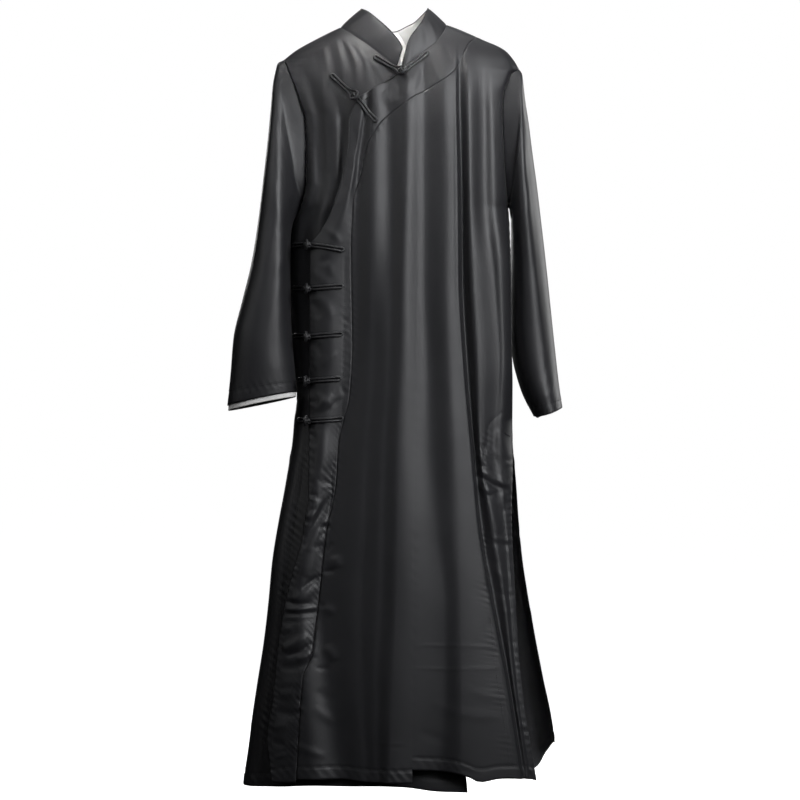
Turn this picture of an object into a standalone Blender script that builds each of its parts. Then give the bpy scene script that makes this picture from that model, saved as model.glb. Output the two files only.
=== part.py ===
"""Long gown with a standing collar, a big front lapped to the wearer's right and side slits.

The gown hangs filled out and empty. X runs to the wearer's left, the front faces -Y, Z is up,
and the origin lies on the neck line between the shoulders. Tables are in millimetres.
"""

import math

import bmesh
import bpy
from mathutils import Vector
from mathutils.bvhtree import BVHTree

MM = 0.001
CLOTH = 1.6            # wall of the gown's cloth
LINING = 1.1           # wall of the white linings
SEAM = 0.2             # each edge stands back this far from its seam line
CORD = 2.1             # radius of a fastening's cord
KNOT = 5.2             # radius of a fastening's knot
SHOULDER_RISE = 200.0  # depth grows over this drop below the shoulder line
SECTION_POWER = 2.3    # squareness of the body's cross-section
FIRST_ROW = -190.0     # first level row, below the sloping shoulder rows
ARMPIT = -320.0
SLIT_TOP = -725.0
LAST_STEP = 22.0       # least drop of the rows above a hem
BAND_END = 139.0       # the band meets the shoulder seam this far across

SHOULDER_STEPS = [(k / 7.0) ** 1.8 for k in range(8)]
ROWS = [-190, -255, -320, -388, -450, -515, -580, -650, -725, -790, -850, -910, -970,
        -1030, -1095, -1160, -1225, -1285]

# height, left edge, right edge of the body in front view
BODY_EDGES = [
    (-54, -209, 214), (-70, -203, 214), (-81, -199, 200), (-101, -191, 192), (-112, -187, 187),
    (-144, -176, 184), (-158, -171, 184), (-212, -168, 186), (-272, -169, 190), (-320, -177, 194),
    (-350, -189, 196), (-385, -197, 197), (-450, -200, 199), (-550, -198, 200), (-600, -194, 201),
    (-640, -189, 202), (-666, -187, 202), (-702, -191, 202), (-738, -194, 203),
    (-810, -205, 209), (-882, -218, 214), (-954, -229, 221), (-1026, -236, 232), (-1098, -245, 245),
    (-1170, -256, 259), (-1242, -266, 274), (-1278, -270, 279), (-1350, -281, 284),
]

# height, depth of the front from the side seams, depth of the back, underlap behind the front
BODY_DEPTH = [
    (-190, 78, 66, 15), (-320, 80, 70, 15), (-450, 82, 72, 17), (-600, 86, 76, 19),
    (-750, 92, 82, 22), (-900, 100, 90, 23), (-1050, 108, 98, 24), (-1200, 116, 106, 24),
    (-1350, 122, 112, 24),
]

# height, half depth of the armhole on the left and on the right
ARMHOLE_LEFT = [(-54, 0), (-57, 6), (-62, 9), (-70, 12), (-85, 16), (-101, 19), (-158, 22),
                (-212, 21), (-272, 17), (-300, 12), (-314, 6), (-320, 0)]
ARMHOLE_RIGHT = [(-70, 0), (-73, 6), (-78, 10), (-85, 13), (-112, 19), (-158, 24),
                 (-212, 22), (-272, 17), (-300, 12), (-314, 6), (-320, 0)]
# height, how far back the left side seam lies, and the right one
SEAM_SHIFT = [(-320, 0, 0), (-345, 8, -6), (-385, 22, -16), (-420, 27, -20), (-600, 27, -20),
              (-700, 12, -8), (-760, 6, -3), (-850, 0, 0)]
# height, half opening between front and back below the slit's top
SLIT_OPENING = [(-725, 0), (-800, 4), (-1000, 10), (-1350, 14)]

# across, height of the shoulder line
SHOULDER_LINE = [(-209, -54), (-187, -37), (-153, -18), (-117, 0), (-108, 4), (-60, 18), (-12, 24),
                 (40, 20), (84, 9), (108, 0), (149, -18), (189, -37), (205, -55), (214, -70)]
# across, height of the collar seam on the underlap, at the back and on the overlap
NECK_LEFT = [(-108, 4), (-84.5, -12), (-64.5, -26.5), (-44.5, -42), (-26.8, -56), (-11, -69),
             (0, -77)]
NECK_BACK = [(-108, 4), (-80, -14), (-50, -27), (-12, -34), (30, -28), (60, -10), (84, 9)]
NECK_RIGHT = [(84, 9), (78, -7), (64.5, -26), (46.5, -42), (28.7, -57), (14, -71), (7, -77)]

# height, across: the overlap edge from the chest corner to the side, then down to the hem
OVERLAP_EDGE = [(-128, -75), (-167, -90), (-206, -91), (-231, -94), (-262, -100), (-291, -108),
                (-320, -118), (-350, -131.5), (-379, -152.5), (-388, -161.5)]
FLAP_EDGE = [(-388, -161.5), (-600, -162), (-830, -162.5), (-880, -169), (-925, -177), (-968, -189),
             (-1017, -202), (-1110, -218), (-1198, -226), (-1272, -237), (-1296, -233),
             (-1342, -227)]
NECK_TO_CHEST = [(7, -77), (-14, -95), (-35.5, -106), (-75, -128)]
# across, height of the band's border from the shoulder to the turn, then height, across
BORDER_TOP = [(126, -25), (116.5, -40), (98, -79), (53, -112), (30.5, -125),
              (21.5, -130), (-7, -151), (-14, -156)]
BORDER_SIDE = [(-156, -14), (-174, -33.5), (-198, -49), (-218, -60), (-262, -69), (-309, -82),
               (-357, -85), (-391, -86.5), (-560, -84.5), (-666, -90.5), (-699, -99.5),
               (-751, -110), (-790, -112), (-823, -115), (-892, -129), (-960, -137.5),
               (-1004, -141.5), (-1083, -150.5), (-1117, -155), (-1152, -170.5), (-1192, -175),
               (-1340, -184)]
CENTRE_SEAM = [(-125, 30.5), (-450, 30), (-666, 28.5), (-954, 24.5), (-1206, 22), (-1340, 21.5)]
SLIT_EDGE_RIGHT = [(-725, 202.5), (-790, 202), (-835, 200), (-875, 199), (-920, 200), (-965, 202.5),
                   (-1015, 205), (-1075, 208), (-1130, 211.5), (-1175, 216.5), (-1212, 220.5),
                   (-1262, 229), (-1305, 236.5), (-1341, 242)]
UNDERLAP_FREE_EDGE = [(-77, 4), (-1360, 119.5)]

# across, height of each hem
HEM_FRONT_LEFT = [(21.5, -1316), (88, -1321), (119, -1328), (141, -1338), (177, -1333),
                  (233, -1338), (242, -1341)]
HEM_FRONT_RIGHT = [(-227, -1342), (-187, -1335), (-105, -1334), (-58, -1338), (21.5, -1339)]
HEM_UNDERLAP = [(-281, -1355), (-106, -1348), (9, -1350), (66, -1357), (120, -1360)]
HEM_BACK = [(-281, -1345), (-200, -1338), (0, -1335), (200, -1336), (232, -1344), (252, -1332),
            (264, -1309), (279, -1283)]

# The front's folds: each line's place across and its height out of the cloth, at these heights
FOLD_HEIGHTS = (-130, -305, -450, -600, -745, -895, -1020, -1155, -1335)
FRONT_FOLDS = [
    # name, across at each height, out at each height
    ("flap crest", (-65, -94, -145, -142, -145, -166, -184, -177, -159), (1, 2, 2, 3, 3, 4, 5, 6, 8)),
    ("band valley", (-57, -76, -78, -81, -104, -124, -138, -124, -101),
     (-4, -6, -7, -9, -10, -10, -10, -8, -8)),
    ("second crest", (-48, -51, -51, -50, -60, -67, -74, -71, -60), (5, 7, 4, -3, -4, -4, -3, -2, -1)),
    ("second valley", (-19, -16, -18, -21, -28, -32, -35, -42, -39), (-4, -6, -3, 4, 3, 3, 3, 3, 3)),
    ("middle crest", (12, 9, 5, 2, -4, -5, -7, -14, -21), (6, 8, 9, 10, 11, 11, 11, 11, 12)),
    ("centre valley", (53, 55, 55, 60, 60, 71, 85, 81, 64), (-4, -6, -6, -5, -2, -1, 0, -2, -6)),
    ("long crest", (81, 85, 83, 88, 96, 103, 108, 110, 112), (5, 8, 9, 10, 11, 12, 12, 12, 12)),
    ("sharp edge", (99, 102, 103, 111, 124, 138, 159, 185, 213), (2, 3, 4, 5, 6, 7, 7, 7, 6)),
    ("deep valley", (106, 110, 111, 119, 131, 145, 167, 192, 220),
     (-8, -12, -14, -14, -13, -12, -11, -8, -3)),
    ("outer crest", (122, 124, 129, 138, 142, 166, 186, 200, 226), (4, 5, 5, 4, 2, 2, 1, -1, -1)),
    ("outer valley", (149, 150, 166, 175, 166, 186, 195, 206, 231),
     (-3, -4, -3, -3, -2, -2, -2, -3, -3)),
    ("side crest", (165, 172, 181, 186, 181, 191, 200, 210, 236), (2, 3, 2, 1, 2, 0, 0, -2, -2)),
]
# place as a share of the half width, out at the chest, out at the hem
UNDERLAP_FOLDS = [(-0.94, 2, 1), (-0.85, -3, -2), (-0.74, 3, 2), (-0.6, -2, -3), (-0.35, 2, 4),
                  (-0.1, -2, -4), (0.15, 2, 4), (0.45, -2, -3)]
BACK_FOLDS = [(-0.93, 1, 4), (-0.8, -3, -7), (-0.64, 4, 9), (-0.5, -5, -8), (-0.33, 5, 12),
              (-0.16, -5, -10), (0.02, 6, 10), (0.17, -4, -11), (0.31, 5, 12), (0.5, -5, -8),
              (0.65, 4, 10), (0.81, -4, -8), (0.93, 1, 4)]

# outer x and z, inner x and z, half depth, middle y, drop of the back edge
SLEEVE_LEFT = [
    (-222, -66, -180, -323, 31, 0, 0), (-229, -99, -187, -331, 42, 0, 0),
    (-233, -144, -192, -342, 50, -2, 0), (-238, -198, -195, -361, 56, -5, 0),
    (-245, -261, -197, -392, 60, -8, 0), (-254, -338, -197, -432, 60, -12, 0),
    (-266, -418, -196, -479, 58, -18, 0), (-282, -486, -195, -526, 55, -24, 0),
    (-298, -554, -192, -569, 52, -28, 2), (-303, -616, -190, -610, 49, -30, 5),
    (-309, -676, -188, -651, 46, -30, 8),
]
SLEEVE_RIGHT = [
    (221, -86, 197, -323, 32, 1, 0), (225, -122, 198, -330, 43, 5, 0),
    (232, -166, 200, -346, 52, 11, 0), (239, -220, 200, -371, 58, 17, 0),
    (247, -277, 200, -403, 62, 21, 0), (256, -349, 199, -443, 62, 24, 0),
    (265, -428, 198, -490, 62, 25, 0), (274, -513, 198, -540, 62, 25, 0),
    (281, -580, 203, -589, 62, 24, 0), (288, -644, 219, -650, 61, 20, 0),
    (293, -678, 241, -695, 58, 18, -4),
]
# angle round the sleeve, half width, first and last ring, out: the sleeves' largest folds
SLEEVE_LEFT_FOLDS = [(70, 24, 1, 6, -6), (118, 26, 2, 9, 5), (45, 22, 3, 10, 4), (95, 20, 5, 10, -5),
                     (250, 30, 2, 10, -5), (300, 30, 3, 9, 4)]
SLEEVE_RIGHT_FOLDS = [(50, 24, 2, 9, -4), (85, 26, 1, 8, 5), (125, 24, 3, 10, -5), (240, 30, 2, 10, -5),
                      (290, 30, 3, 9, 4)]
CUFF_BEYOND = 9.0      # the white lining shows this far past the cuff
COLLAR_LINING_BEYOND = 4.5
COLLAR_ROWS = (0.0, 0.14, 0.42, 0.71, 1.0)

# across at the seam, then how far the top edge lies from it: across, back, up
COLLAR_LEFT = [(-108, 38, 0, 33), (-84.5, 29, 2, 40), (-64.5, 23, 3, 42), (-44.5, 18, 4, 44),
               (-26.8, 12, 4, 46), (-11, 8, 4, 45), (0, 4, 3, 39)]
COLLAR_BACK = [(-108, 38, 0, 33), (-80, 26, -2, 34), (-50, 12, 0, 36), (-12, 0, 2, 38),
               (30, -10, 1, 38), (60, -22, -1, 35), (84, -34, 0, 29)]
COLLAR_RIGHT = [(7, 1, 4, 20), (14, -2, 4, 34), (28.7, -7, 4, 41), (46.5, -14, 4, 41),
                (64.5, -22, 3, 41), (78, -30, 2, 36), (84, -34, 0, 29)]

# name, tail x and z, knot x and z, loop's tail x and z
FASTENINGS = [
    ("neck", (47, -50), (5, -84), (-43, -56)),
    ("chest", (-44, -170), (-79, -127), (-120, -88)),
    ("side_1", (-103, -399), (-160, -390), None),
    ("side_2", (-105, -464), (-160, -468), None),
    ("side_3", (-106, -549), (-160, -553), None),
    ("side_4", (-109, -628), (-160, -632), None),
    ("side_5", (-105, -699), (-160, -704), None),
]

SATIN = (0.012, 0.012, 0.0135, 1.0)
CORD_BLACK = (0.008, 0.008, 0.009, 1.0)
WHITE = (0.80, 0.79, 0.77, 1.0)


def curve(table, column=1):
    """A smooth function through the table's first column and the one named, with no overshoot."""
    rows = sorted(table)
    xs = [float(row[0]) for row in rows]
    ys = [float(row[column]) for row in rows]
    steps = [b - a for a, b in zip(xs, xs[1:])]
    slopes = [(b - a) / step for a, b, step in zip(ys, ys[1:], steps)]
    tangents = [slopes[0]]
    for before, after, left, right in zip(slopes, slopes[1:], steps, steps[1:]):
        if before * after <= 0:
            tangents.append(0.0)
            continue
        w1 = 2 * right + left
        w2 = right + 2 * left
        tangents.append((w1 + w2) / (w1 / before + w2 / after))
    tangents.append(slopes[-1])

    def value(x):
        if x <= xs[0]:
            return ys[0]
        if x >= xs[-1]:
            return ys[-1]
        i = 0
        while x > xs[i + 1]:
            i += 1
        h = steps[i]
        t = (x - xs[i]) / h
        return ((1 + 2 * t) * (1 - t) ** 2 * ys[i] + t * (1 - t) ** 2 * h * tangents[i]
                + t * t * (3 - 2 * t) * ys[i + 1] + t * t * (t - 1) * h * tangents[i + 1])

    return value


edge_left = curve(BODY_EDGES, 1)
edge_right = curve(BODY_EDGES, 2)
depth_front = curve(BODY_DEPTH, 1)
depth_back = curve(BODY_DEPTH, 2)
depth_gap = curve(BODY_DEPTH, 3)
armhole_left = curve(ARMHOLE_LEFT)
armhole_right = curve(ARMHOLE_RIGHT)
slit_opening = curve(SLIT_OPENING)
shift_left = curve(SEAM_SHIFT, 1)
shift_right = curve(SEAM_SHIFT, 2)
shoulder = curve(SHOULDER_LINE)
neck_left = curve(NECK_LEFT)
neck_back = curve(NECK_BACK)
overlap_edge = curve(OVERLAP_EDGE)
flap_edge = curve(FLAP_EDGE)
border_top = curve(BORDER_TOP + [(BAND_END, shoulder(BAND_END))])
border_side = curve(BORDER_SIDE)
centre_seam = curve(CENTRE_SEAM)
slit_edge_right = curve(SLIT_EDGE_RIGHT)
underlap_free = curve(UNDERLAP_FREE_EDGE)
fold_lines = [(curve(list(zip(FOLD_HEIGHTS, across))), curve(list(zip(FOLD_HEIGHTS, out))))
              for _, across, out in FRONT_FOLDS]


def mix(a, b, share):
    return a + (b - a) * share


def ease(share):
    share = min(max(share, 0.0), 1.0)
    return share * share * (3 - 2 * share)


def section(x, z):
    """Share of the half width, rounded depth share and seam depth at a point of the body."""
    left = edge_left(z)
    right = edge_right(z)
    u = (x - (left + right) / 2) / ((right - left) / 2)
    u = min(max(u, -1.0), 1.0)
    e = (1 - abs(u) ** SECTION_POWER) ** (1 / SECTION_POWER)
    if z > ARMPIT:
        seam = armhole_left(z) if u < 0 else armhole_right(z)
        if z > (-54 if u < 0 else -70):
            seam = 0.0
    else:
        seam = slit_opening(z) if z < SLIT_TOP else 0.0
    return u, e, seam


def shift(u, z):
    return (shift_left(z) if u < 0 else shift_right(z)) * abs(u) ** 3


def below_shoulder(x, z):
    drop = max(shoulder(x) - z, 0.0)
    share = 1 - min(drop / SHOULDER_RISE, 1.0)
    return math.sqrt(max(1 - share * share, 0.0)), drop


def wave(points, at):
    """Height at a place between fold lines given as (place, out) in order."""
    for (x0, d0), (x1, d1) in zip(points, points[1:]):
        if at <= x1:
            share = (at - x0) / max(x1 - x0, 1e-6)
            share = min(max(share, 0.0), 1.0)
            return mix(d0, d1, (1 - math.cos(math.pi * share)) / 2)
    return points[-1][1]


def front_point(x, z):
    u, e, seam = section(x, z)
    grow, drop = below_shoulder(x, z)
    start = flap_edge(z) if z < -388 else overlap_edge(z)
    lines = [(min(start, fold_lines[0][0](z) - 6), 0.0)]
    lines += [(place(z), out(z)) for place, out in fold_lines]
    lines.append((max(edge_right(z), lines[-1][0] + 2), 0.0))
    out = wave(lines, x) * ease((drop - 15) / 130) * min(1.0, 1.6 * e)
    y = shift(u, z) - (seam + max(depth_front(z) * grow - seam, 0.0) * e) - out
    return Vector((x, y, z))


def table_wave(table, u, z):
    low = ease((-z - 100) / 1250)
    points = [(-1.0, 0.0)] + [(place, mix(top, hem, low)) for place, top, hem in table] + [(1.0, 0.0)]
    return wave(points, u)


def underlap_point(x, z):
    u, e, seam = section(x, z)
    grow, drop = below_shoulder(x, z)
    out = table_wave(UNDERLAP_FOLDS, u, z) * ease((drop - 15) / 110) * min(1.0, 1.8 * e)
    depth = (depth_front(z) - depth_gap(z)) * grow
    return Vector((x, shift(u, z) - (seam + max(depth - seam, 0.0) * e) - out, z))


def back_point(x, z):
    u, e, seam = section(x, z)
    grow, drop = below_shoulder(x, z)
    out = table_wave(BACK_FOLDS, u, z) * ease((drop - 20) / 200) * min(1.0, 1.8 * e)
    return Vector((x, shift(u, z) + seam + max(depth_back(z) * grow - seam, 0.0) * e + out, z))


class Guide:
    """A line of cloth from the top edge to the hem. A following guide keeps to its line above too."""

    def __init__(self, line, top, follows=False):
        self.line = line
        self.top = top
        self.follows = follows


def guide_path(guide, hem):
    top_x, top_z = guide.top
    path = []
    for step in SHOULDER_STEPS[:-1]:
        z = mix(top_z, FIRST_ROW, step)
        x = guide.line(z) if guide.follows and step > 0 else mix(top_x, guide.line(FIRST_ROW), step)
        path.append([x, z])
    end = hem(guide.line(hem(guide.line(-1335.0))))
    for k, z in enumerate(ROWS):
        z = max(float(z), end + LAST_STEP * (len(ROWS) - k))
        path.append([guide.line(z), z])
    path.append([guide.line(end), end])
    return path


def panel(guides, shares, top_curve, hem, point):
    """Grid of points, row by row, between guides. shares holds the steps between each pair."""
    paths = [guide_path(guide, hem) for guide in guides]
    columns = [paths[0]]
    for before, after, steps in zip(paths, paths[1:], shares):
        for share in steps:
            column = [[mix(a[0], b[0], share), mix(a[1], b[1], share)] for a, b in zip(before, after)]
            if share < 1 and top_curve:
                top = top_curve(column[0][0])
                for k, step in enumerate(SHOULDER_STEPS[:-1]):
                    column[k][1] = mix(top, FIRST_ROW, step)
            if share < 1:
                column[-1][1] = hem(column[-1][0])
            columns.append(column)
    return [[point(*column[k]) for column in columns] for k in range(len(columns[0]))]


seam_normals = {}


def key(p):
    return (round(p.x, 2), round(p.y, 2), round(p.z, 2))


def grid_normals(grid, outward, wrap=False):
    """Unit normals of a grid. outward(p, n) says whether n points out."""
    rows = len(grid)
    cols = len(grid[0])
    normals = []
    for i in range(rows):
        line = []
        for j in range(cols):
            down = grid[min(i + 1, rows - 1)][j] - grid[max(i - 1, 0)][j]
            if wrap:
                across = grid[i][(j + 1) % cols] - grid[i][(j - 1) % cols]
            else:
                across = grid[i][min(j + 1, cols - 1)] - grid[i][max(j - 1, 0)]
            n = down.cross(across)
            if n.length < 1e-9:
                n = Vector((0, 0, 1))
            n.normalize()
            if not outward(grid[i][j], n):
                n = -n
            line.append(n)
        normals.append(line)
    return normals


def sew(grid, normals, places):
    for i, j in places:
        total = seam_normals.setdefault(key(grid[i][j]), Vector((0, 0, 0)))
        total += normals[i][j]


def pull_back(grid, places, inner):
    """Moves edge points off their seam line, towards the cloth."""
    moved = {}
    for i, j in places:
        k, m = inner(i, j)
        step = grid[k][m] - grid[i][j]
        moved[i, j] = grid[i][j] + step.normalized() * SEAM
    for (i, j), p in moved.items():
        grid[i][j] = p


def cloth(name, outer, inner, wrap, material):
    """A closed wall between two grids of points."""
    rows = len(outer)
    cols = len(outer[0])
    mesh = bmesh.new()
    out = [[mesh.verts.new(p * MM) for p in row] for row in outer]
    back = [[mesh.verts.new(p * MM) for p in row] for row in inner]
    last = cols if wrap else cols - 1
    for i in range(rows - 1):
        for j in range(last):
            m = (j + 1) % cols
            mesh.faces.new((out[i][j], out[i + 1][j], out[i + 1][m], out[i][m]))
            mesh.faces.new((back[i][m], back[i + 1][m], back[i + 1][j], back[i][j]))
    for j in range(last):
        m = (j + 1) % cols
        mesh.faces.new((out[0][j], out[0][m], back[0][m], back[0][j]))
        mesh.faces.new((out[-1][m], out[-1][j], back[-1][j], back[-1][m]))
    if not wrap:
        for i in range(rows - 1):
            mesh.faces.new((out[i + 1][0], out[i][0], back[i][0], back[i + 1][0]))
            mesh.faces.new((out[i][-1], out[i + 1][-1], back[i + 1][-1], back[i][-1]))
    bmesh.ops.triangulate(mesh, faces=mesh.faces[:])
    if mesh.calc_volume(signed=True) < 0:
        bmesh.ops.reverse_faces(mesh, faces=mesh.faces[:])
    return place(name, mesh, material)


def place(name, mesh, material):
    data = bpy.data.meshes.new(name)
    mesh.to_mesh(data)
    mesh.free()
    data.shade_smooth()
    data.set_sharp_from_angle(angle=math.radians(50))
    data.materials.append(material)
    obj = bpy.data.objects.new(name, data)
    bpy.context.scene.collection.objects.link(obj)
    return obj


def material_of(name, colour, roughness):
    material = bpy.data.materials.new(name)
    material.use_nodes = True
    shader = material.node_tree.nodes["Principled BSDF"]
    shader.inputs["Base Color"].default_value = colour
    shader.inputs["Roughness"].default_value = roughness
    shader.inputs["Metallic"].default_value = 0.0
    return material


def front_out(p, n):
    return n.y < 0 if abs(n.y) > 0.05 else n.z > 0


def back_out(p, n):
    return n.y > 0 if abs(n.y) > 0.05 else n.z > 0


class Piece:
    def __init__(self, name, grid, outward, wrap=False, wall=CLOTH):
        self.name = name
        self.grid = grid
        self.wrap = wrap
        self.wall = wall
        self.normals = grid_normals(grid, outward, wrap)
        self.seams = []

    def seam(self, places, inner):
        self.seams.append((places, inner))
        sew(self.grid, self.normals, places)

    def build(self, material):
        for places, _ in self.seams:
            for i, j in places:
                shared = seam_normals[key(self.grid[i][j])].normalized()
                if not self.wrap or shared.dot(self.normals[i][j]) > 0.85:
                    self.normals[i][j] = shared
        outer = [[p.copy() for p in row] for row in self.grid]
        for places, inner in self.seams:
            pull_back(outer, places, inner)
        lined = [[p - n * self.wall for p, n in zip(row, line)]
                 for row, line in zip(outer, self.normals)]
        return cloth(self.name, outer, lined, self.wrap, material)


def halves(count):
    return [(k + 1) / count for k in range(count)]


def side_share(u):
    """A line at a constant share of the half width."""
    return lambda z: mix(edge_left(z), edge_right(z), (u + 1) / 2)


# Body panels
EDGE_STEPS = [0.5, 0.85, 1.0]
EDGE_STEPS_BACK = [0.15, 0.5, 1.0]

fold = {row[0]: lines[0] for row, lines in zip(FRONT_FOLDS, fold_lines)}


def right_edge_front(z):
    return edge_right(z) if z >= SLIT_TOP else slit_edge_right(z)


left_tip = (-209.0, shoulder(-209.0))
right_tip = (214.0, shoulder(214.0))


def front_left_top(x):
    return border_top(x) if x < 139 else shoulder(x)


def underlap_top(x):
    return shoulder(x) if x < -108 else neck_left(x)


def back_top(x):
    return neck_back(x) if -108 < x < 84 else shoulder(x)


front_left_guides = [
    Guide(centre_seam, (30.5, border_top(30.5)), follows=True),
    Guide(fold["centre valley"], (58, border_top(58))),
    Guide(fold["long crest"], (88, border_top(88))),
    Guide(fold["sharp edge"], (112, border_top(112))),
    Guide(fold["deep valley"], (122, border_top(122))),
    Guide(fold["outer crest"], (139, border_top(139))),
    Guide(fold["outer valley"], (160, shoulder(160))),
    Guide(fold["side crest"], (180, shoulder(180))),
    Guide(right_edge_front, right_tip, follows=True),
]
front_left_grid = panel(
    front_left_guides,
    [halves(2), halves(2), halves(2), halves(1), halves(2), halves(2), halves(1), EDGE_STEPS],
    front_left_top, curve(HEM_FRONT_LEFT), front_point)

front_right_guides = [
    Guide(border_side, (-14, border_top(-14)), follows=True),
    Guide(fold["middle crest"], (14, border_top(14))),
    Guide(centre_seam, (30.5, border_top(30.5)), follows=True),
]
front_right_grid = panel(front_right_guides, [halves(6), halves(2)], border_top,
                         curve(HEM_FRONT_RIGHT), front_point)

underlap_guides = [
    Guide(edge_left, left_tip, follows=True),
    Guide(side_share(-0.9), (-175, shoulder(-175))),
    Guide(side_share(-0.62), (-108, shoulder(-108))),
    Guide(lambda z: mix(side_share(-0.62)(z), underlap_free(z), 0.5), (-54, neck_left(-54))),
    Guide(underlap_free, (0, neck_left(0)), follows=True),
]
underlap_grid = panel(underlap_guides, [EDGE_STEPS_BACK, halves(2), halves(2), halves(3)],
                      underlap_top, curve(HEM_UNDERLAP), underlap_point)

band_shares = [0.0, 0.25, 0.5, 0.75, 1.0]
left_shoulder_tops = [underlap_grid[0][j].x for j in range(6)]
band_tops = [mix(84, 139, share) for share in band_shares]
right_tops = [p.x for p in front_left_grid[0] if p.x > 139.01]
neck_tops = [mix(-108, 84, k / 10) for k in range(1, 10)]
back_tops = left_shoulder_tops + neck_tops + band_tops + right_tops


def back_line(j):
    """The back's lines run from the top points to nearly even steps round the section."""
    count = len(back_tops) - 1
    return side_share(mix(-math.cos(math.pi * j / count), 2 * j / count - 1, 0.45))


last_back = len(back_tops) - 1
back_guides = [Guide(edge_left, left_tip, follows=True)]
back_guides += [Guide(back_line(j), (back_tops[j], back_top(back_tops[j])))
                for j in range(3, last_back - 2)]
back_guides.append(Guide(edge_right, right_tip, follows=True))
back_grid = panel(back_guides, [EDGE_STEPS_BACK] + [[1.0]] * (len(back_guides) - 3) + [EDGE_STEPS],
                  back_top, curve(HEM_BACK), back_point)

# The band runs between the border of the front panels and the neck and overlap edge
border_points = [p for p in front_left_grid[0] if p.x <= 139.01][::-1]
border_points += front_right_grid[0][::-1][1:]
shoulder_end = len(border_points)
border_points += [row[0] for row in front_right_grid[1:]]
neck_side = curve([(k, row[0]) for k, row in enumerate(NECK_RIGHT)])
neck_height = curve([(k, row[1]) for k, row in enumerate(NECK_RIGHT)])
chest_x = curve([(k, row[0]) for k, row in enumerate(NECK_TO_CHEST)])
chest_z = curve([(k, row[1]) for k, row in enumerate(NECK_TO_CHEST)])
neck_count = len([p for p in front_left_grid[0] if p.x <= 139.01])
band_grid = []
for k, border in enumerate(border_points):
    if k < neck_count:
        t = (len(NECK_RIGHT) - 1) * k / (neck_count - 1)
        inner_x, inner_z = neck_side(t), neck_height(t)
    elif k < shoulder_end:
        t = (len(NECK_TO_CHEST) - 1) * (k - neck_count + 1) / (shoulder_end - neck_count)
        inner_x, inner_z = chest_x(t), chest_z(t)
    elif border.z > FIRST_ROW + 0.01:
        inner_z = mix(-128, FIRST_ROW, (border.z + 156) / (FIRST_ROW + 156))
        inner_x = overlap_edge(inner_z)
    else:
        inner_z = border.z
        inner_x = overlap_edge(inner_z) if inner_z > -388 else flap_edge(inner_z)
    if k == len(border_points) - 1:
        inner_x, inner_z = -227.0, -1342.0
    row = []
    for share in band_shares:
        if share == 1.0:
            row.append(border.copy())
            continue
        x, z = mix(inner_x, border.x, share), mix(inner_z, border.z, share)
        if k == 0:
            z = shoulder(x)
        row.append(front_point(x, z))
    band_grid.append(row)


# Sleeves
def sleeve_grid(front_edge, back_edge, table, folds):
    """Rings from the armhole to the cuff. Each ring starts at the top and runs down the front."""
    first = [p.copy() for p in front_edge] + [p.copy() for p in back_edge[-2:0:-1]]
    count = len(first)
    half = count // 2
    top = front_edge[0]
    bottom = front_edge[-1]
    length = bottom.z - top.z
    starts = []
    for j, p in enumerate(first):
        share = min(max((p.z - top.z) / length, 0.0), 1.0)
        angle = math.acos(1 - 2 * share)
        starts.append(angle if j <= half else 2 * math.pi - angle)
    rings = [first]
    for k, (ox, oz, ix, iz, depth, middle, drop) in enumerate(table, start=1):
        ring = []
        for j in range(count):
            even = 2 * math.pi * j / count
            angle = mix(starts[j], even, ease(k / 5))
            x = mix(ox, ix, (1 - math.cos(angle)) / 2)
            z = mix(oz, iz, (1 - math.cos(angle)) / 2)
            y = middle - depth * math.sin(angle)
            p = Vector((x, y, z + drop * math.sin(angle)))
            centre = Vector(((ox + ix) / 2, middle, (oz + iz) / 2))
            out = 0.0
            for at, width, start, end, height in folds:
                turn = abs((math.degrees(angle) - at + 180) % 360 - 180)
                if turn < width and start <= k <= end:
                    along = math.sin(math.pi * (k - start + 0.6) / (end - start + 1.2))
                    out += height * along * (1 + math.cos(math.pi * turn / width)) / 2
            p += (p - centre).normalized() * out
            ring.append(p)
        rings.append(ring)
    return rings


armhole_rows = len(SHOULDER_STEPS) + 2
left_front_edge = [underlap_grid[k][0] for k in range(armhole_rows)]
left_back_edge = [back_grid[k][0] for k in range(armhole_rows)]
right_front_edge = [front_left_grid[k][-1] for k in range(armhole_rows)]
right_back_edge = [back_grid[k][-1] for k in range(armhole_rows)]
sleeve_left_grid = sleeve_grid(left_front_edge, left_back_edge, SLEEVE_LEFT, SLEEVE_LEFT_FOLDS)
sleeve_right_grid = sleeve_grid(right_front_edge, right_back_edge, SLEEVE_RIGHT, SLEEVE_RIGHT_FOLDS)


def away_from(rings):
    centres = [sum(ring, Vector((0, 0, 0))) / len(ring) for ring in rings]

    def outward(p, n):
        nearest = min(centres, key=lambda c: (c - p).length)
        return (p - nearest).dot(n) > 0

    return outward


# Collar: its seam follows the underlap, the back and the band
neck_from = 5
seam_left = [p.copy() for p in underlap_grid[0][neck_from:]][::-1]
seam_back = [p.copy() for p in back_grid[0][neck_from + 1:neck_from + 1 + len(neck_tops)]]
seam_right = [band_grid[k][0].copy() for k in range(neck_count)]
rise_left = [curve(COLLAR_LEFT, c) for c in (1, 2, 3)]
rise_back = [curve(COLLAR_BACK, c) for c in (1, 2, 3)]
rise_right = [curve(COLLAR_RIGHT, c) for c in (1, 2, 3)]


def collar_column(p, rise):
    up = Vector([f(p.x) for f in rise])
    return [p + up * share for share in COLLAR_ROWS]


collar_columns = [collar_column(p, rise_left) for p in seam_left]
collar_columns += [collar_column(p, rise_back) for p in seam_back]
collar_columns += [collar_column(p, rise_right) for p in seam_right]
collar_grid = [[column[k] for column in collar_columns] for k in range(len(COLLAR_ROWS))]


def collar_out(p, n):
    return (p - Vector((-10, -10, p.z))).dot(n) > 0


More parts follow.
